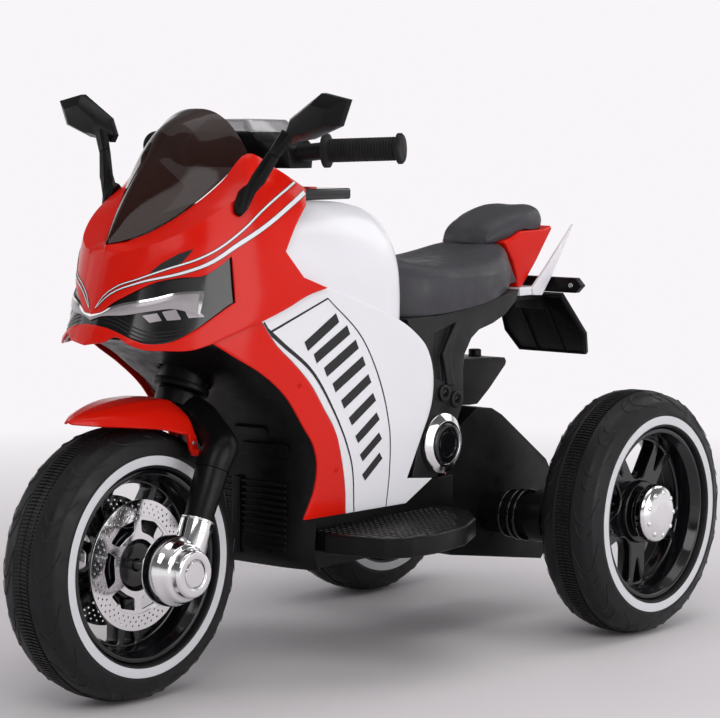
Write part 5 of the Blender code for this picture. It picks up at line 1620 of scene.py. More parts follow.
@dataclass
class UpperCowl:
    """Red nose shell with its lamp opening, bezel, light bar, stripes and vents."""

    columns: tuple[float, ...] = (
        0.0, 0.07, 0.13, 0.2, 0.27, 0.35, 0.46, 0.58, 0.66, 0.73, 0.866, 1.0, 1.5, 2.0,
    )
    bottom: Pairs = (
        (0.0, 0.4307), (0.13, 0.435), (0.2, 0.4415), (0.27, 0.434), (0.36, 0.4265), (0.56, 0.424),
        (0.66, 0.431), (0.866, 0.4531), (1.0, 0.468), (1.5, 0.482), (2.0, 0.489),
    )
    lamp_bottom: Pairs = (
        (0.0, 0.455), (0.1, 0.453), (0.17, 0.4499), (0.26, 0.4416), (0.35, 0.4344), (0.44, 0.4338),
        (0.53, 0.4366), (0.58, 0.4493), (0.64, 0.4619), (0.73, 0.479), (1.0, 0.492), (2.0, 0.504),
    )
    lamp_top: Pairs = (
        (0.0, 0.4665), (0.07, 0.4696), (0.13, 0.4795), (0.26, 0.4955), (0.35, 0.5044), (0.46, 0.5093),
        (0.58, 0.5117), (0.67, 0.5237), (0.73, 0.533), (1.0, 0.54), (2.0, 0.536),
    )
    shoulder: Pairs = (
        (0.0, 0.536), (0.2, 0.541), (0.413, 0.555), (0.618, 0.58), (0.85, 0.606), (1.0, 0.622), (1.5, 0.608),
        (2.0, 0.59),
    )
    lamp_end: float = 0.73
    steps: int = 5
    bezel_inset: float = 0.0036
    bar_top: Pairs = (
        (0.0, 0.466), (0.07, 0.469), (0.165, 0.479), (0.33, 0.485), (0.53, 0.4965), (0.63, 0.49),
    )
    bar_bottom: Pairs = (
        (0.0, 0.459), (0.085, 0.465), (0.22, 0.4661), (0.34, 0.4707), (0.52, 0.4745), (0.56, 0.464),
        (0.63, 0.464),
    )
    bar_end: float = 0.66
    strip_widths: Pairs = ((0.0, 0.0044), (0.12, 0.0024), (0.8, 0.0024), (1.0, 0.003))
    cap_widths: Pairs = ((0.0, 0.008), (0.5, 0.0066), (1.0, 0.003))
    rib_columns: tuple[float, ...] = (0.1, 0.17, 0.26, 0.35, 0.44, 0.52)
    rib_widths: Pairs = ((0.0, 0.001), (0.5, 0.0016), (1.0, 0.0006))
    stripes: tuple[tuple[Line, Pairs], ...] = (
        ((
            (0.005, -0.4145, 0.4729), (0.0136, -0.4092, 0.4872), (0.029, -0.4014, 0.4994),
            (0.0486, -0.3894, 0.5072), (0.0757, -0.3619, 0.5205), (0.0917, -0.3379, 0.529),
            (0.102, -0.3163, 0.539), (0.113, -0.2776, 0.5634), (0.1149, -0.2467, 0.5844),
            (0.1041, -0.1716, 0.6192),
        ), ((0.0, 0.0008), (0.3, 0.0018), (1.0, 0.0028))),
        ((
            (0.005, -0.4145, 0.4729), (0.0228, -0.4058, 0.4904), (0.0495, -0.3903, 0.5028),
            (0.0851, -0.3525, 0.5145), (0.1002, -0.3253, 0.5243), (0.1132, -0.2845, 0.5472),
            (0.1182, -0.2525, 0.5628), (0.1084, -0.1596, 0.6061),
        ), ((0.0, 0.0008), (0.3, 0.0026), (0.6, 0.005), (1.0, 0.0054))),
    )
    stripe_edge: float = 0.0017
    vent: Line = (
        (0.0594, -0.3792, 0.5146), (0.0688, -0.3676, 0.5264), (0.0804, -0.3518, 0.5366),
        (0.0897, -0.3368, 0.5423), (0.0843, -0.3495, 0.5277), (0.0757, -0.3619, 0.5205),
    )
    lenses: tuple[Line, ...] = (
        (
            (0.0607, -0.3934, 0.4663), (0.0731, -0.3807, 0.4692), (0.0784, -0.3778, 0.4604),
            (0.0688, -0.3891, 0.4583),
        ),
        (
            (0.0768, -0.3761, 0.4706), (0.0869, -0.3631, 0.4734), (0.0923, -0.3592, 0.4615),
            (0.0823, -0.3733, 0.4604),
        ),
        (
            (0.0918, -0.3554, 0.4747), (0.0989, -0.3435, 0.4759), (0.1057, -0.3335, 0.4637),
            (0.0963, -0.3516, 0.4628),
        ),
    )

    def build(self) -> None:
        """Build the cowl and all that sits on it."""
        outlines = (self.bottom, self.lamp_bottom, self.lamp_top)
        rows = [[cowl_point(c, read_curve(outline, c)) for c in self.columns] for outline in outlines]
        ends = [(c, read_curve(self.lamp_top, c), read_curve(self.shoulder, c)) for c in self.columns]
        rows.append([cowl_point(c, (low + high) / 2) for c, low, high in ends])
        rows.append([cowl_point(c, high) for c, _, high in ends])
        rows.append([screen_edge_point(c) for c in self.columns])
        half_grid = fine_grid(rows, self.steps, self.steps, (), (1, 2, 4))
        skin = Skin(both_sides(half_grid), Vector((0, -1, 0.3)))
        width = len(half_grid[0]) - 1
        lamp_columns = sum(c < self.lamp_end for c in self.columns) * self.steps

        def in_lamp(row: int, column: int) -> bool:
            """Tell whether a face lies in the lamp opening."""
            away = column - width if column >= width else width - 1 - column
            return self.steps <= row < 2 * self.steps and away < lamp_columns

        give(skin.shell("upper_cowl_shell", RED, is_open=in_lamp), Body.CHASSIS, "upper_cowl")
        self.lamps()
        self.graphics(skin)

    def lamps(self) -> None:
        """Make the bezel, the light bar and what sits on both."""
        columns = [c for c in self.columns if c <= self.lamp_end] + [self.lamp_end + 0.03]
        levels = [(share, self.bezel_inset) for share in (0.0, 0.33, 0.67, 1.0)]
        bezel = self.lamp_skin(columns, (self.lamp_bottom, self.lamp_top), 0.004, levels)
        give(bezel.shell("headlight_bezel_gloss", BLACK_GLOSS, 0.002), Body.CHASSIS, "headlight_bezel")
        columns = [c for c in columns if c < self.bar_end]
        levels = [(0.0, 0.0016), (0.5, 0.0006), (1.0, 0.0016)]
        bar = self.lamp_skin(columns, (self.bar_bottom, self.bar_top), 0.0, levels)
        give(bar.shell("light_bar_lens", LENS, 0.0012, 0.0003), Body.CHASSIS, "light_bar")
        strip = [cowl_point(c, read_curve(self.bar_top, c) - 0.0013, 0.0012) for c in columns if c < 0.6]
        cap = [cowl_point(0.575, z, 0.0012) for z in (0.4925, 0.484, 0.476, 0.467)]
        trims = [
            bar.ribbon("light_bar_trim", side.mirror(points), widths, CHROME, 0.0007)
            for side, (points, widths) in product(Side, ((strip, self.strip_widths), (cap, self.cap_widths)))
        ]
        give(joined("light_bar_chrome_trim", trims), Body.CHASSIS)
        ribs = []
        for side, k in product(Side, range(3)):
            rise = 0.0045 + 0.0042 * k
            points = [
                cowl_point(c, read_curve(self.lamp_bottom, c) + rise, self.bezel_inset)
                for c in self.rib_columns
            ]
            ribs.append(bezel.ribbon("lamp_rib", side.mirror(points), self.rib_widths, GREY, 0.0006))
        give(joined("headlight_ribs", ribs), Body.CHASSIS)
        blocks = [
            bezel.patch("lens_block", side.mirror(outline), LENS, 0.0012, 0.0012)
            for outline, side in product(self.lenses, Side)
        ]
        give(joined("headlight_lens_blocks", blocks), Body.CHASSIS)

    def lamp_skin(
        self, columns: Sequence[float], heights: tuple[Pairs, Pairs], spread: float, levels: Pairs,
    ) -> Skin:
        """Lay a surface between two heights of the nose.

        Args:
            columns: Columns of the nose that it covers.
            heights: Lower and upper height by column.
            spread: How far it reaches past both.
            levels: (share of the height, distance inside the nose) of each row.

        Returns:
            The surface.
        """
        ends = [(c, read_curve(heights[0], c) - spread, read_curve(heights[1], c) + spread) for c in columns]
        rows = [
            [cowl_point(c, blend(low, high, share), inset) for c, low, high in ends]
            for share, inset in levels
        ]
        return Skin(both_sides(fine_grid(rows, 5, 4)), Vector((0, -1, 0)))

    def graphics(self, skin: Skin) -> None:
        """Lay the stripes and the vents on the cowl.

        Args:
            skin: The cowl's outer face.
        """
        stripes, edges = [], []
        for side, (line, widths) in product(Side, self.stripes):
            border = [(share, width + self.stripe_edge) for share, width in widths]
            edges.append(skin.ribbon("cowl_stripe_edge", side.mirror(line), border, PRINT_BLACK))
            stripes.append(skin.ribbon("cowl_stripe", side.mirror(line), widths, PRINT_WHITE, 2.2 * LIFT))
        vents = [skin.patch("cowl_vent", side.mirror(self.vent), GREY, 0.0006, 0.0015) for side in Side]
        give(joined("upper_cowl_stripe_edges", edges), Body.CHASSIS)
        give(joined("upper_cowl_stripes", stripes), Body.CHASSIS)
        give(joined("upper_cowl_vents", vents), Body.CHASSIS)


SCREEN_EDGE = [
    (0.0, 0.0, -0.392, 0.546), (0.2, 0.017, -0.375, 0.55), (0.35, 0.032, -0.3565, 0.559),
    (0.46, 0.043, -0.3395, 0.569), (0.58, 0.055, -0.321, 0.582), (0.73, 0.0675, -0.2975, 0.6005),
    (0.866, 0.077, -0.275, 0.62), (1.0, 0.085, -0.238, 0.653), (1.5, 0.095, -0.196, 0.634),
    (2.0, 0.103, -0.153, 0.61),
]


def screen_edge_point(column: float) -> Vector:
    """Point of the cowl's top edge at a column."""
    return Vector([read_curve([(edge[0], edge[k]) for edge in SCREEN_EDGE], column) for k in (1, 2, 3)])


@dataclass
class Windscreen:
    """Smoked bubble on the cowl."""

    ridge: Pairs = (
        (-0.391, 0.549), (-0.36, 0.595), (-0.33, 0.632), (-0.28, 0.687), (-0.25, 0.703), (-0.236, 0.707),
    )
    roundness: Pairs = ((-0.391, 1.6), (-0.3, 1.7), (-0.236, 2.5))
    columns: tuple[float, ...] = (0.02, 0.12, 0.27, 0.46, 0.66, 0.85, 1.0)
    shares: tuple[float, ...] = (1.0, 0.93, 0.78, 0.58, 0.36, 0.16, 0.0)
    lift: float = 0.0014

    def build(self) -> None:
        """Mould the bubble."""
        rows = []
        for column in self.columns:
            edge = screen_edge_point(column)
            low = edge.z + self.lift
            high = max(read_curve(self.ridge, edge.y), low + 0.001)
            power = read_curve(self.roundness, edge.y)
            rows.append(
                [(edge.x * s, edge.y, low + (high - low) * (1.0 - s ** power)) for s in reversed(self.shares)]
            )
        skin = Skin(both_sides(fine_grid(rows, 4, 5)), Vector((0, -1, 1)))
        give(skin.shell("windscreen_bubble", SMOKE, 0.002, 0.0004), Body.CHASSIS, "windscreen")


@dataclass
class SidePanels:
    """Red band and white panel of each side, with the printed lines and the screws."""

    band_inner: Line = (
        (-0.3325, 0.436), (-0.298, 0.4147), (-0.252, 0.389), (-0.212, 0.358), (-0.184, 0.323),
        (-0.162, 0.293), (-0.156, 0.2755), (-0.157, 0.247), (-0.176, 0.2055),
    )
    band_outer: Line = (
        (-0.262, 0.462), (-0.232, 0.425), (-0.2, 0.4), (-0.17, 0.373), (-0.143, 0.338), (-0.12, 0.305),
        (-0.11, 0.2755), (-0.102, 0.247), (-0.097, 0.2045),
    )
    white_front: Line = (
        *band_outer[:5], (-0.126, 0.315), (-0.115, 0.29), (-0.106, 0.262), (-0.101, 0.24), (-0.099, 0.228),
        (-0.097, 0.2045),
    )
    white_rear: Line = (
        (-0.142, 0.4905), (-0.076, 0.47), (-0.012, 0.447), (0.03, 0.425), (0.057, 0.402), (0.068, 0.378),
        (0.068, 0.333), (0.048, 0.29), (0.022, 0.236), (0.074, 0.2305), (0.022, 0.2035),
    )
    lines: tuple[tuple[Line, Pairs], ...] = (
        ((
            (-0.2566, 0.4495), (-0.222, 0.4257), (-0.1662, 0.3868), (-0.1304, 0.3415), (-0.1049, 0.2987),
            (-0.0901, 0.2661), (-0.0814, 0.2048),
        ), ((0.0, 0.006), (0.25, 0.005), (0.6, 0.003), (1.0, 0.0018))),
        ((
            (-0.1382, 0.4758), (-0.0704, 0.4202), (-0.046, 0.3825), (-0.0269, 0.3374), (-0.0172, 0.2951),
            (-0.0149, 0.2459), (-0.0185, 0.2022),
        ), ((0.0, 0.0014), (0.5, 0.0022), (1.0, 0.0016))),
    )
    bars: Line = (
        (0.22, 0.9, 0.013), (0.18, 0.9, 0.013), (0.18, 0.88, 0.013), (0.18, 0.86, 0.013), (0.2, 0.84, 0.0125),
        (0.22, 0.82, 0.012), (0.24, 0.8, 0.0115), (0.26, 0.78, 0.011), (0.28, 0.76, 0.0105),
    )
    first_bar: int = 7
    bar_pitch: int = 5
    screw_places: Pairs = ((-0.1902, 0.3735), (-0.1192, 0.2621))
    half_width: float = 0.126
    inset: float = 0.004
    seam: float = 0.0005

    def build(self) -> None:
        """Build both sides."""
        for side in Side:
            band = self.skin(side, self.band_inner, [(y - self.seam, z) for y, z in self.band_outer], 12, ())
            name = "side_fairing_" + side.label
            give(band.shell(name + "_band", RED), Body.CHASSIS, name)
            white = self.skin(
                side, [(y + self.seam, z) for y, z in self.white_front], self.white_rear, 24, (8, 9),
            )
            name = "side_panel_" + side.label
            give(white.shell(name + "_moulding", WHITE), Body.CHASSIS, name)
            self.prints(side, white)
            self.fixings(side, band)

    def skin(self, side: Side, front: Line, rear: Line, columns: int, breaks: Iterable[int]) -> Skin:
        """Lay the surface between two outlines.

        Args:
            side: Side of the vehicle.
            front: Front outline as (y, z) points.
            rear: Rear outline with as many points.
            columns: Spans between them.
            breaks: Corners that both outlines keep.

        Returns:
            The surface.
        """
        ends = [smooth_line([(y, z, 0.0) for y, z in line], 6, breaks) for line in (front, rear)]
        rows = [[first.lerp(last, k / columns) for k in range(columns + 1)] for first, last in zip(*ends)]
        grid = [
            [Vector((side.value * half_width_at(q.x, q.y, self.inset), q.x, q.y)) for q in row]
            for row in rows
        ]
        return Skin(grid, side.axis)

    def prints(self, side: Side, white: Skin) -> None:
        """Lay the printed lines and plain slanted bars on the white panel.

        Args:
            side: Side of the vehicle.
            white: The panel's outer face.
        """
        parts, rails = [], []
        for line, widths in self.lines:
            points = [(side.value * self.half_width, y, z) for y, z in line]
            parts.append(white.ribbon("panel_line", points, widths, PRINT_BLACK, count=60))
            rails.append(resample(smooth_line(points, 6), 61))
        for k, (low, high, width) in enumerate(self.bars):
            start = self.first_bar + self.bar_pitch * k
            foot, top = start + self.bar_pitch, start
            ends = [rails[0][foot].lerp(rails[1][foot], low), rails[0][top].lerp(rails[1][top], high)]
            parts.append(white.ribbon("panel_bar", ends, ((0.0, width), (1.0, width)), PRINT_BLACK, count=14))
        ends = [rails[0][3].lerp(rails[1][0], share) for share in (0.0, 0.5, 1.0)]
        parts.append(
            white.ribbon("panel_top_line", ends, ((0.0, 0.003), (1.0, 0.0022)), PRINT_BLACK, count=14),
        )
        give(joined(f"side_panel_{side.label}_prints", parts), Body.CHASSIS)

    def fixings(self, side: Side, band: Skin) -> None:
        """Set the screws in the red band.

        Args:
            side: Side of the vehicle.
            band: The band's outer face.
        """
        places = [band.nearest((side.value * self.half_width, y, z), -0.0004) for y, z in self.screw_places]
        give(screws(f"side_fairing_{side.label}_screws", places, 0.0036, RED), Body.CHASSIS)


@dataclass
class FrontCowl:
    """Black shell behind the front wheel with its post and ribs."""

    rows: Line = (
        (0.436, -0.398, -0.33), (0.424, -0.345, -0.3), (0.405, -0.3, -0.262), (0.389, -0.275, -0.24),
        (0.367, -0.243, -0.208), (0.345, -0.214, -0.19), (0.32, -0.188, -0.168), (0.3, -0.173, -0.152),
        (0.272, -0.165, -0.146), (0.2, -0.164, -0.146), (0.15, -0.164, -0.146), (0.137, -0.153, -0.14),
    )
    shares: tuple[float, ...] = (0.0, 0.3, 0.55, 0.75, 0.88, 0.96, 1.0)
    inset: float = 0.008
    gap: float = 0.0016
    rib_count: int = 11
    rib_low: float = 0.162
    rib_pitch: float = 0.0079
    rib_reach: float = 0.082
    collar_radius: float = 0.0322
    collar_ring: Pairs = ((0.0316, 0.0), (0.0345, 0.0), (0.0352, 0.001), (0.0352, 0.0075), (0.0316, 0.0075))
    bosses: Line = ((0.311, -0.181, 0.064), (0.286, -0.169, 0.088))
    boss_start: float = 0.011
    boss_half: float = 0.0088

    def build(self) -> None:
        """Mould the shell with its collar ring, ribs, post and bosses."""
        rows = []
        for z, centre_y, side_y in self.rows:
            reach = half_width_at(side_y, z, self.inset) - self.gap
            rows.append([(reach * s, centre_y + (side_y - centre_y) * s ** 4, z) for s in self.shares])
        skin = Skin(both_sides(fine_grid(rows, 4, 4, (), (9,))), Vector((0, -1, 0)))
        grid = skin.grid

        def in_hole(row: int, column: int) -> bool:
            """Tell whether a face lies in the collar's hole.

            Args:
                row: Row of the face.
                column: Column of the face.

            Returns:
                Whether the face is left out.
            """
            middle = (grid[row][column] + grid[row + 1][column + 1]) / 2 - STEERING_POINT
            away = (middle - STEERING_AXIS * middle.dot(STEERING_AXIS)).length
            return away < self.collar_radius and middle.z > 0.15

        give(skin.shell("front_cowl_shell", BLACK, is_open=in_hole), Body.CHASSIS, "front_cowl")
        ring, foot = rounded(self.collar_ring, 0.0006, 2), steering_point(0.2226)
        give(lathe("front_cowl_collar_ring", ring, foot, STEERING_AXIS, BLACK, 72, True), Body.CHASSIS)
        self.ribs()
        bosses = []
        for side, (z, y, reach) in product(Side, self.bosses):
            low, high = z - self.boss_half, z + self.boss_half
            outline = [
                (self.boss_start, y, low), (reach, y, low), (reach, y, high), (self.boss_start, y, high),
            ]
            patch = skin.patch("front_cowl_boss", side.mirror(outline), BLACK, 0.003, 0.008)
            bosses.append(thicken(patch, 0.0034, 0.0012, 3, 50.0))
        give(joined("front_cowl_bosses", bosses), Body.CHASSIS)

    def ribs(self) -> None:
        """Repeat the ribs across the cowl's face and set the post over them."""
        face = self.rows[9][1]
        stand = Matrix(((1, 0, 0, 0), (0, 0, -1, 0), (0, 1, 0, 0), (0, 0, 0, 1)))
        rib = plate(
            "front_cowl_ribs", [slab(self.rib_reach, 0.0, 0.004, 0.0018)], 0.004, 0.0012, stand, BLACK,
        )
        run_tree(rib, row_tree(), {
            "Count": self.rib_count, "Start": (0.0, face - 0.001, self.rib_low),
            "Step": (0.0, 0.0, self.rib_pitch), "Material": BLACK.material(),
        })
        give(rib, Body.CHASSIS)
        outline = slab(0.006, self.rib_low - 0.012, self.rib_low + self.rib_count * self.rib_pitch, 0.003)
        place = Matrix.Translation((0, face - 0.0016, 0)) @ stand
        give(plate("front_cowl_post", [outline], 0.0085, 0.0015, place, BLACK), Body.CHASSIS)


@dataclass
class TankAndDash:
    """White tank cover with the key panel on it."""

    stations: Line = (
        (-0.15, 0.98, 0.486, 0.59), (-0.115, 0.98, 0.478, 0.592), (-0.076, 0.985, 0.464, 0.592),
        (-0.04, 0.985, 0.452, 0.59), (-0.01, 0.97, 0.443, 0.585), (0.012, 0.92, 0.44, 0.575),
        (0.03, 0.79, 0.44, 0.556), (0.044, 0.57, 0.442, 0.532),
    )
    section: Pairs = (
        (1.0, 0.0), (1.0, 0.28), (0.97, 0.52), (0.89, 0.72), (0.76, 0.88), (0.58, 0.975), (0.42, 1.0),
        (0.0, 1.0),
    )
    front_lean: tuple[float, ...] = (-0.075, -0.085, -0.088, -0.07, -0.045, -0.02, 0.0, 0.0)
    half_width: float = 0.126
    inset: float = 0.0071
    middle_y: float = -0.065

    def build(self) -> None:
        """Build the cover and the key panel."""
        rows = []
        for station, (y, share, low, high) in enumerate(self.stations):
            row = []
            for k, (across, up) in enumerate(self.section):
                point_y = y + self.front_lean[k] * max(0.0, 1.0 - station / 2.0)
                z = blend(low, high, up)
                x = min(across * share * self.half_width, half_width_at(point_y, z, self.inset))
                row.append(Vector((0.0 if k == len(self.section) - 1 else x, point_y, z)))
            rows.append(list(reversed(row)))
        skin = Skin(both_sides(fine_grid(rows, 5, 5, (1,), ())), Vector((0, 0, 1)))
        give(skin.shell("tank_cover_moulding", WHITE), Body.CHASSIS, "tank_cover")
        self.dash()

    def dash(self) -> None:
        """Make the panel, the two rockers and the button."""
        give(refined_copy("dash_panel", BLACK_GLOSS, 0.0012, 3), Body.CHASSIS, "dash_panel")
        for node, body, finish in (
            ("power_switch", Body.POWER_ROCKER, RED_KEY), ("direction_switch", Body.DIRECTION_ROCKER, GREY),
        ):
            give(refined_copy(node, finish, 0.0011, 3), body, node)
        low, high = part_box("horn_button")
        base = Vector((0.0, self.middle_y, low[2]))
        rise = high[2] - low[2]
        profile = [
            (0.0, rise - 0.0006), (0.0035, rise - 0.0002), (0.0058, rise), (0.0074, rise - 0.001),
            (0.0074, 0.0),
            (0.0, 0.0),
        ]
        horn = lathe("horn_button_cap", rounded(profile, 0.0006, 2), base, Vector((0, 0, 1)), RED_KEY, 48)
        give(horn, Body.HORN, "horn_button")


@dataclass
class SeatAndHump:
    """Rider's seat and the hump behind it."""

    seat: Line = (
        (0.0465, 0.62, 0.4405, 0.478, 0.508), (0.07, 0.8, 0.4385, 0.488, 0.513),
        (0.11, 0.97, 0.44, 0.489, 0.508), (0.16, 1.0, 0.4435, 0.488, 0.505),
        (0.21, 1.0, 0.4495, 0.488, 0.507), (0.255, 0.93, 0.457, 0.49, 0.513),
        (0.29, 0.8, 0.464, 0.494, 0.521), (0.313, 0.64, 0.468, 0.498, 0.526),
        (0.332, 0.56, 0.469, 0.484, 0.5015), (0.3435, 0.53, 0.469, 0.472, 0.4775),
    )
    seat_section: Pairs = (
        (0.0, 0.0), (0.97, 0.0), (1.0, 0.55), (0.98, 1.0), (0.86, 1.62), (0.62, 1.95), (0.0, 2.0),
    )
    hump: Line = (
        (0.297, 0.038, 0.5236, 0.534), (0.305, 0.043, 0.525, 0.545), (0.3165, 0.047, 0.5275, 0.552),
        (0.335, 0.051, 0.5322, 0.559), (0.353, 0.054, 0.5406, 0.565), (0.392, 0.053, 0.541, 0.574),
        (0.412, 0.047, 0.5425, 0.572), (0.418, 0.04, 0.545, 0.56),
    )
    hump_section: Pairs = ((0.0, 0.0), (0.96, 0.0), (1.0, 0.35), (0.9, 0.78), (0.7, 0.96), (0.0, 1.0))
    half_width: float = 0.105

    def build(self) -> None:
        """Mould both pieces."""
        rows = []
        for y, share, low, crease, high in self.seat:
            row = []
            for across, up in self.seat_section:
                z = blend(low, crease, up) if up <= 1.0 else blend(crease, high, up - 1.0)
                row.append((across * share * self.half_width, y, z))
            rows.append(row)
        seat = loft("seat_moulding", fine_grid(rows, 5, 5, (1, 3), (7,)), SEAT, 0.0015, 46.0)
        give(seat, Body.CHASSIS, "seat")
        rows = []
        for y, half, low, high in self.hump:
            rows.append([(across * half, y, blend(low, high, up)) for across, up in self.hump_section])
        hump = loft("seat_hump_moulding", fine_grid(rows, 5, 4, (1,), ()), SEAT, 0.0012, 46.0)
        give(hump, Body.CHASSIS, "seat_hump")


RIDERS = {
    "foot_pedal": Body.PEDAL, "mirror_head_left": Body.MIRROR_LEFT, "mirror_head_right": Body.MIRROR_RIGHT,
}


@dataclass
class RefinedPieces:
    """Pieces whose CAD shape is kept, with rounded edges and their own finish.

    Attributes:
        plain: (node, finish, rounding) of each piece.
    """

    plain: tuple[tuple[str, Finish, float], ...] = (
        ("seat_base", GREY, 0.0018), ("tail_panel", RED, 0.0016), ("tail_wing", WHITE, 0.001),
        ("signal_bar", BLACK, 0.0012), ("plate_holder", BLACK, 0.001), ("main_frame", BLACK, 0.0008),
        ("chassis_tray", BLACK, 0.001), ("battery", BATTERY, 0.0008), ("rear_housing", BLACK, 0.003),
        ("rear_mudguard", BLACK, 0.0025), ("rear_axle", STEEL, 0.0008), ("gearbox_left", BLACK, 0.0014),
        ("gearbox_right", BLACK, 0.0014), ("footboard_left", BLACK, 0.002), ("footboard_right", BLACK, 0.002),
        ("foot_pedal", GREY, 0.001), ("mirror_stalk_left", BLACK, 0.0012),
        ("mirror_stalk_right", BLACK, 0.0012),
        ("mirror_head_left", BLACK, 0.0022), ("mirror_head_right", BLACK, 0.0022), ("motor_lead", LEAD, 0.0),
    )
    ring_centre: tuple[float, float] = (0.1215, 0.27)
    strut_outline: Pairs = (
        (0.1515, 0.428), (0.157, 0.423), (0.14, 0.389), (0.144, 0.36), (0.15, 0.344), (0.133, 0.344),
        (0.127, 0.37), (0.122, 0.386), (0.137, 0.41),
    )
    strut_bolts: Pairs = ((0.1281, 0.3353), (0.1539, 0.3252))
    plate_ends: Line = ((0.0, 0.447, 0.446), (0.0, 0.508, 0.357))
    plate_outline: Pairs = (
        (0.058, 0.0), (0.072, 0.66), (0.06, 1.0), (-0.06, 1.0), (-0.072, 0.66), (-0.058, 0.0),
    )
    tread_reach: Pairs = (
        (-0.15, 0.055), (-0.1385, 0.12), (-0.127, 0.19), (-0.099, 0.227), (-0.057, 0.234), (0.014, 0.217),
        (0.075, 0.164), (0.12, 0.084), (0.128, 0.0),
    )
    signal_bolt: tuple[float, float, float] = (0.0925, 0.4213, 0.4625)
    pad_pitch: float = 0.0105
    pad_start: tuple[float, float] = (0.066, -0.144)
    pad_area: tuple[float, float] = (0.23, 0.3)
    pad_margin: float = 0.009
    pedal_margin: float = 0.004
    strut_start: float = 0.098
    bolt_start: float = 0.0972
    bolt_ring: Pairs = (
        (0.0, 0.0012), (0.0062, 0.0012), (0.0066, 0.004), (0.01, 0.004), (0.0112, 0.003), (0.0112, 0.0),
    )
    motor_centre: tuple[float, float, float] = (0.08, -0.112, -0.002)
    motor_bore: float = 0.028
    motor_flanges: Pairs = ((0.034, 0.0325), (0.05, 0.0345), (0.06, 0.0345))
    ring_start: float = 0.0974
    ring_profile: Pairs = (
        (0.027, 0.0102), (0.0274, 0.0116), (0.03, 0.0116), (0.0398, 0.0058), (0.0398, 0.0002), (0.0, 0.0002),
    )
    middle_profile: Pairs = (
        (0.0, 0.0128), (0.015, 0.0128), (0.0158, 0.0119), (0.0174, 0.0119), (0.0182, 0.0129),
        (0.0248, 0.0127), (0.0262, 0.0118), (0.0271, 0.0104),
    )

    def build(self) -> None:
        """Refine every piece of the table and turn the pivot rings."""
        for node, finish, edge in self.plain:
            give(refined_copy(node, finish, edge), RIDERS.get(node, Body.CHASSIS), node)
        for side in Side:
            self.pivot_ring(side)
            self.strut(side)
            self.tread_pads(side)
            self.motor_rings(side)
        self.plate_ribs()
        places = [(side.mirror([self.signal_bolt])[0], (0, -1, 0)) for side in Side]
        give(screws("signal_bar_bolts", places, 0.0036, STEEL), Body.CHASSIS)

    def strut(self, side: Side) -> None:
        """Add the raised strut and the two ringed bolts of a seat leg.

        Args:
            side: Side of the vehicle.
        """
        outline = rounded([Vector(q) for q in self.strut_outline], 0.004, 4, True)
        place = side_place(side.value * self.strut_start)
        feet = [Vector((side.value * self.bolt_start, y, z)) for y, z in self.strut_bolts]
        ring = rounded(self.bolt_ring, 0.0005, 2)
        parts = [plate("seat_strut", [outline], 0.006, 0.0018, place, GREY)]
        parts += [lathe("seat_bolt_ring", ring, foot, side.axis, GREY, 40) for foot in feet]
        give(joined("seat_base_strut_" + side.label, parts), Body.CHASSIS)
        bolts = [(foot + side.axis * 0.0012, side.axis) for foot in feet]
        give(screws("seat_base_bolts_" + side.label, bolts, 0.0046, BLACK_GLOSS), Body.CHASSIS)

    def tread_pads(self, side: Side) -> None:
        """Repeat low square pads over a footboard's tread.

        Args:
            side: Side of the vehicle.
        """
        _, board_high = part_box("footboard_" + side.label)
        pedal_low, pedal_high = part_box("foot_pedal")
        shape = bmesh.new()
        levels = [
            [shape.verts.new((x * half, y * half, z)) for x, y in ((-1, -1), (1, -1), (1, 1), (-1, 1))]
            for half, z in ((0.0041, -0.0002), (0.0034, 0.0007))
        ]
        bridge(shape, *levels)
        shape.faces.new(levels[1])
        pad = finish_mesh("tread_pad", shape, BLACK, 30.0)
        counts = [range(int(reach / self.pad_pitch)) for reach in self.pad_area]
        margin, places = self.pedal_margin, []
        for i, j in product(*counts):
            x, y = [start + k * self.pad_pitch for start, k in zip(self.pad_start, (i, j))]
            reach = read_curve(self.tread_reach, y) - self.pad_margin
            x *= side.value
            over_pedal = all(
                low - margin < value < high + margin
                for low, value, high in zip(pedal_low, (x, y), pedal_high)
            )
            if abs(x) < reach and not over_pedal:
                places.append(((x, y, board_high[2]), (0, 0, 1)))
        give(on_points(f"footboard_{side.label}_tread_pads", places, pad, BLACK), Body.CHASSIS)

    def motor_rings(self, side: Side) -> None:
        """Turn the raised flanges round a motor.

        Args:
            side: Side of the vehicle.
        """
        x, y, z = self.motor_centre
        centre = Vector((side.value * x, REAR_AXLE.y + y, REAR_AXLE.z + z))
        parts = []
        for low, radius in self.motor_flanges:
            outer, high = radius + 0.0006, low + 0.005
            ring = [
                (self.motor_bore, low), (radius, low), (outer, low + 0.001), (outer, low + 0.004),
                (radius, high),
                (self.motor_bore, high),
            ]
            parts.append(lathe("motor_ring", ring, centre, side.axis, BLACK_GLOSS, 56, True))
        give(joined(f"gearbox_{side.label}_motor_rings", parts), Body.CHASSIS)

    def plate_ribs(self) -> None:
        """Lay a raised border and two ribs on the plate holder's face."""
        top, bottom = [Vector(end) for end in self.plate_ends]
        down = bottom - top
        front = Vector((0.0, down.z, -down.y)).normalized() * 0.0004
        border = [(x * 0.965, 0.02 + 0.96 * t) for x, t in self.plate_outline]
        border.append(border[0])
        parts = []
        for line in [border] + [[(x, 0.02), (x, 0.97)] for x in (-0.024, 0.024)]:
            points = [top + down * t + front + Vector((x, 0, 0)) for x, t in line]
            parts.append(tube("plate_rib", points, 0.0016, BLACK, 3))
        give(joined("plate_holder_ribs", parts), Body.CHASSIS)

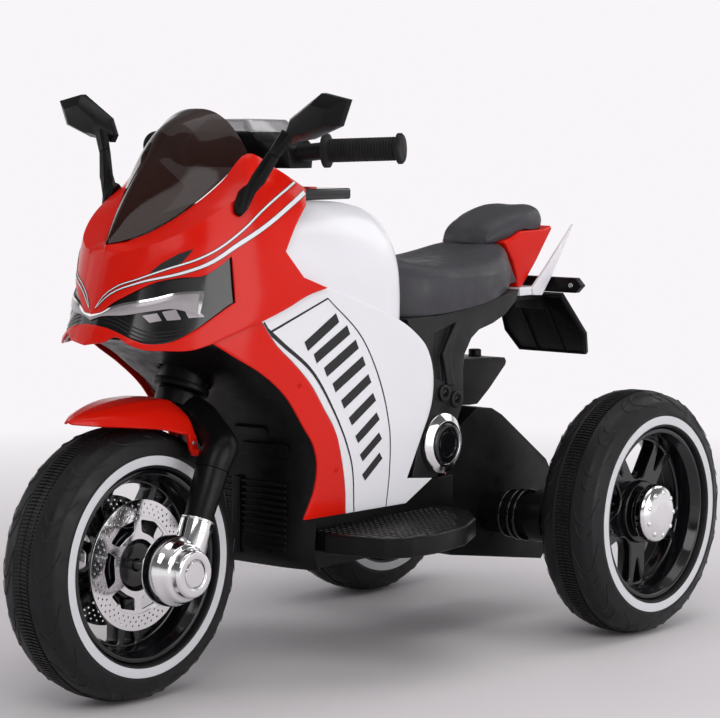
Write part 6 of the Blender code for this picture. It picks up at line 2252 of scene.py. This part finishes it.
    def pivot_ring(self, side: Side) -> None:
        """Turn the bright ring with its black middle.

        Args:
            side: Side of the vehicle.
        """
        centre = Vector((side.value * self.ring_start, *self.ring_centre))
        name, profile = "pivot_ring_" + side.label, rounded(self.ring_profile, 0.001, 3)
        give(lathe(name + "_bright", profile, centre, side.axis, CHROME, 96), Body.CHASSIS, name)
        give(lathe(name + "_middle", self.middle_profile, centre, side.axis, BLACK_GLOSS, 72), Body.CHASSIS)


@dataclass
class Studio:
    """Floor, backdrop, lights and the camera at the photograph's view."""

    backdrop: tuple[float, float, float] = (0.945, 0.915, 0.945)
    fade_start: float = 0.7
    fade_end: float = 2.4
    felt_colour: tuple[float, float, float] = (0.96, 0.96, 1.0)
    felt_strength: float = 0.52
    bright_metal_bands: Pairs = (
        (0.0, 0.3), (0.44, 0.42), (0.5, 0.9), (0.58, 0.9), (0.66, 0.16), (0.84, 0.1), (1.0, 0.55),
    )
    lamps: tuple[tuple[str, tuple[float, float, float], float, float], ...] = (
        ("key_light", (1.6, -2.2, 2.4), 1.6, 24.0), ("fill_light", (-2.2, -1.6, 1.6), 1.8, 10.0),
        ("side_light", (2.6, 0.2, 0.9), 1.8, 26.0), ("top_light", (0.2, 0.4, 2.8), 2.0, 17.0),
        ("rim_light", (0.8, 2.4, 1.8), 1.4, 12.0),
    )
    target: tuple[float, float, float] = (0.0, 0.0, 0.3)
    camera_place: tuple[float, float, float] = (2.1129, -2.4361, 0.6948)
    camera_angles: tuple[float, float, float] = (40.1045, 5.516, 0.153)
    focal_length: float = 124.51
    sensor_width: float = 36.0

    def build(self) -> None:
        """Set everything up."""
        self.floor()
        self.lights()
        self.world()
        self.camera()

    def floor(self) -> None:
        """Lay a pale floor that takes the shadow and fades into the backdrop."""
        shape = bmesh.new()
        bmesh.ops.create_grid(shape, x_segments=8, y_segments=8, size=6.0)
        floor = Finish(
            "studio_floor", "white_gloss", (0.66, 0.63, 0.64), 0.6, tint_share=0.01, tint_scale=0.6,
            grain_depth=0.0,
            specular=0.15,
        )
        made = finish_mesh("studio_floor", shape, floor)
        self.fade(floor.material().node_tree)

    def fade(self, tree: NodeTree) -> None:
        """Blend a floor material into the backdrop's colour with the distance from the object.

        Args:
            tree: The floor's node tree.
        """
        place = add_node(tree, "ShaderNodeTexCoord").outputs["Object"]
        reach = add_node(tree, "ShaderNodeVectorMath", {0: place}, operation="LENGTH").outputs["Value"]
        share = map_range(tree, reach, (self.fade_start, self.fade_end), (0.0, 1.0))
        both = maths(tree, "MULTIPLY", share, self.seen_rays(tree))
        glow = add_node(tree, "ShaderNodeEmission", {"Color": (*self.backdrop, 1.0)}).outputs[0]
        mix = add_node(
            tree, "ShaderNodeMixShader", {0: both, 1: tree.nodes["Principled BSDF"].outputs[0], 2: glow},
        )
        fill(tree, tree.nodes["Material Output"], {"Surface": mix.outputs[0]})

    def seen_rays(self, tree: NodeTree) -> Socket:
        """Find the rays that see the floor in the picture.

        Args:
            tree: Node tree to add to.

        Returns:
            A socket that is 1 for camera, glossy and transmission rays.
        """
        path = add_node(tree, "ShaderNodeLightPath")
        total = path.outputs["Is Camera Ray"]
        for kind in ("Is Glossy Ray", "Is Transmission Ray"):
            total = maths(tree, "ADD", total, path.outputs[kind], True)
        return total

    def lights(self) -> None:
        """Set soft lights round the object."""
        for name, place, size, power in self.lamps:
            data = bpy.data.lights.new(name, "AREA")
            data.size = size
            data.energy = power
            lamp = linked(name, data)
            lamp.location = place
            lamp.rotation_euler = (Vector(self.target) - Vector(place)).to_track_quat("-Z", "Y").to_euler()

    def world(self) -> None:
        """Colour the backdrop and light the rest softly, with darker bands high up for bright metal."""
        world = bpy.data.worlds.new("studio_world")
        world.use_nodes = True
        tree = world.node_tree
        tree.nodes.clear()
        place = add_node(tree, "ShaderNodeTexCoord").outputs["Generated"]
        height = add_node(tree, "ShaderNodeSeparateXYZ", {0: place}).outputs["Z"]
        ramp = add_node(tree, "ShaderNodeValToRGB", {0: map_range(tree, height, (-1.0, 1.0), (0.0, 1.0))})
        for k, (position, level) in enumerate(self.bright_metal_bands):
            stop = ramp.color_ramp.elements[k] if k < 2 else ramp.color_ramp.elements.new(position)
            stop.position = position
            stop.color = (level, level, level, 1.0)
        felt, seen, shine = [
            add_node(tree, "ShaderNodeBackground", {"Color": colour, "Strength": strength}).outputs[0]
            for colour, strength in (
                ((*self.felt_colour, 1.0), self.felt_strength), ((*self.backdrop, 1.0), 1.0),
                (ramp.outputs[0], 1.0),
            )
        ]
        path = add_node(tree, "ShaderNodeLightPath")
        source = felt
        for kind, other in (("Is Glossy Ray", shine), ("Is Transmission Ray", seen), ("Is Camera Ray", seen)):
            source = add_node(
                tree, "ShaderNodeMixShader", {0: path.outputs[kind], 1: source, 2: other},
            ).outputs[0]
        add_node(tree, "ShaderNodeOutputWorld", {"Surface": source})
        bpy.context.scene.world = world

    def camera(self) -> None:
        """Stand the camera where the photograph was taken."""
        turn, tilt, roll = [math.radians(angle) for angle in self.camera_angles]
        back = Vector((math.sin(turn) * math.cos(tilt), -math.cos(turn) * math.cos(tilt), math.sin(tilt)))
        right = Vector((math.cos(turn), math.sin(turn), 0.0))
        across = right * math.cos(roll) + back.cross(right) * math.sin(roll)
        data = bpy.data.cameras.new("photo_camera")
        data.lens = self.focal_length
        data.sensor_width = self.sensor_width
        data.sensor_fit = "HORIZONTAL"
        data.clip_end = 50.0
        camera = linked("photo_camera", data)
        turned = Matrix((across, back.cross(across), back)).transposed().to_4x4()
        camera.matrix_world = Matrix.Translation(self.camera_place) @ turned
        bpy.context.scene.camera = camera
        bpy.context.scene.view_settings.view_transform = "Standard"


def main() -> None:
    """Build the finished look and hand it to the frame."""
    logging.basicConfig(level=logging.INFO, format="%(message)s")
    Wheel("front", FRONT_AXLE, Body.FRONT_WHEEL, hub_half=0.0235).build()
    Wheel("rear_left", REAR_AXLE + Vector((REAR_WHEEL_X, 0, 0)), Body.REAR_WHEEL_LEFT).build()
    Wheel("rear_right", REAR_AXLE - Vector((REAR_WHEEL_X, 0, 0)), Body.REAR_WHEEL_RIGHT).build()
    for side in Side:
        BrakeDisc(side).build()
        HubCap(side).build()
    for assembly in (
        Fork(), FrontMudguard(), Handlebar(), UpperCowl(), Windscreen(), SidePanels(), FrontCowl(),
        TankAndDash(),
        SeatAndHump(), RefinedPieces(), Studio(),
    ):
        assembly.build()


if __name__ == "__main__":
    main()
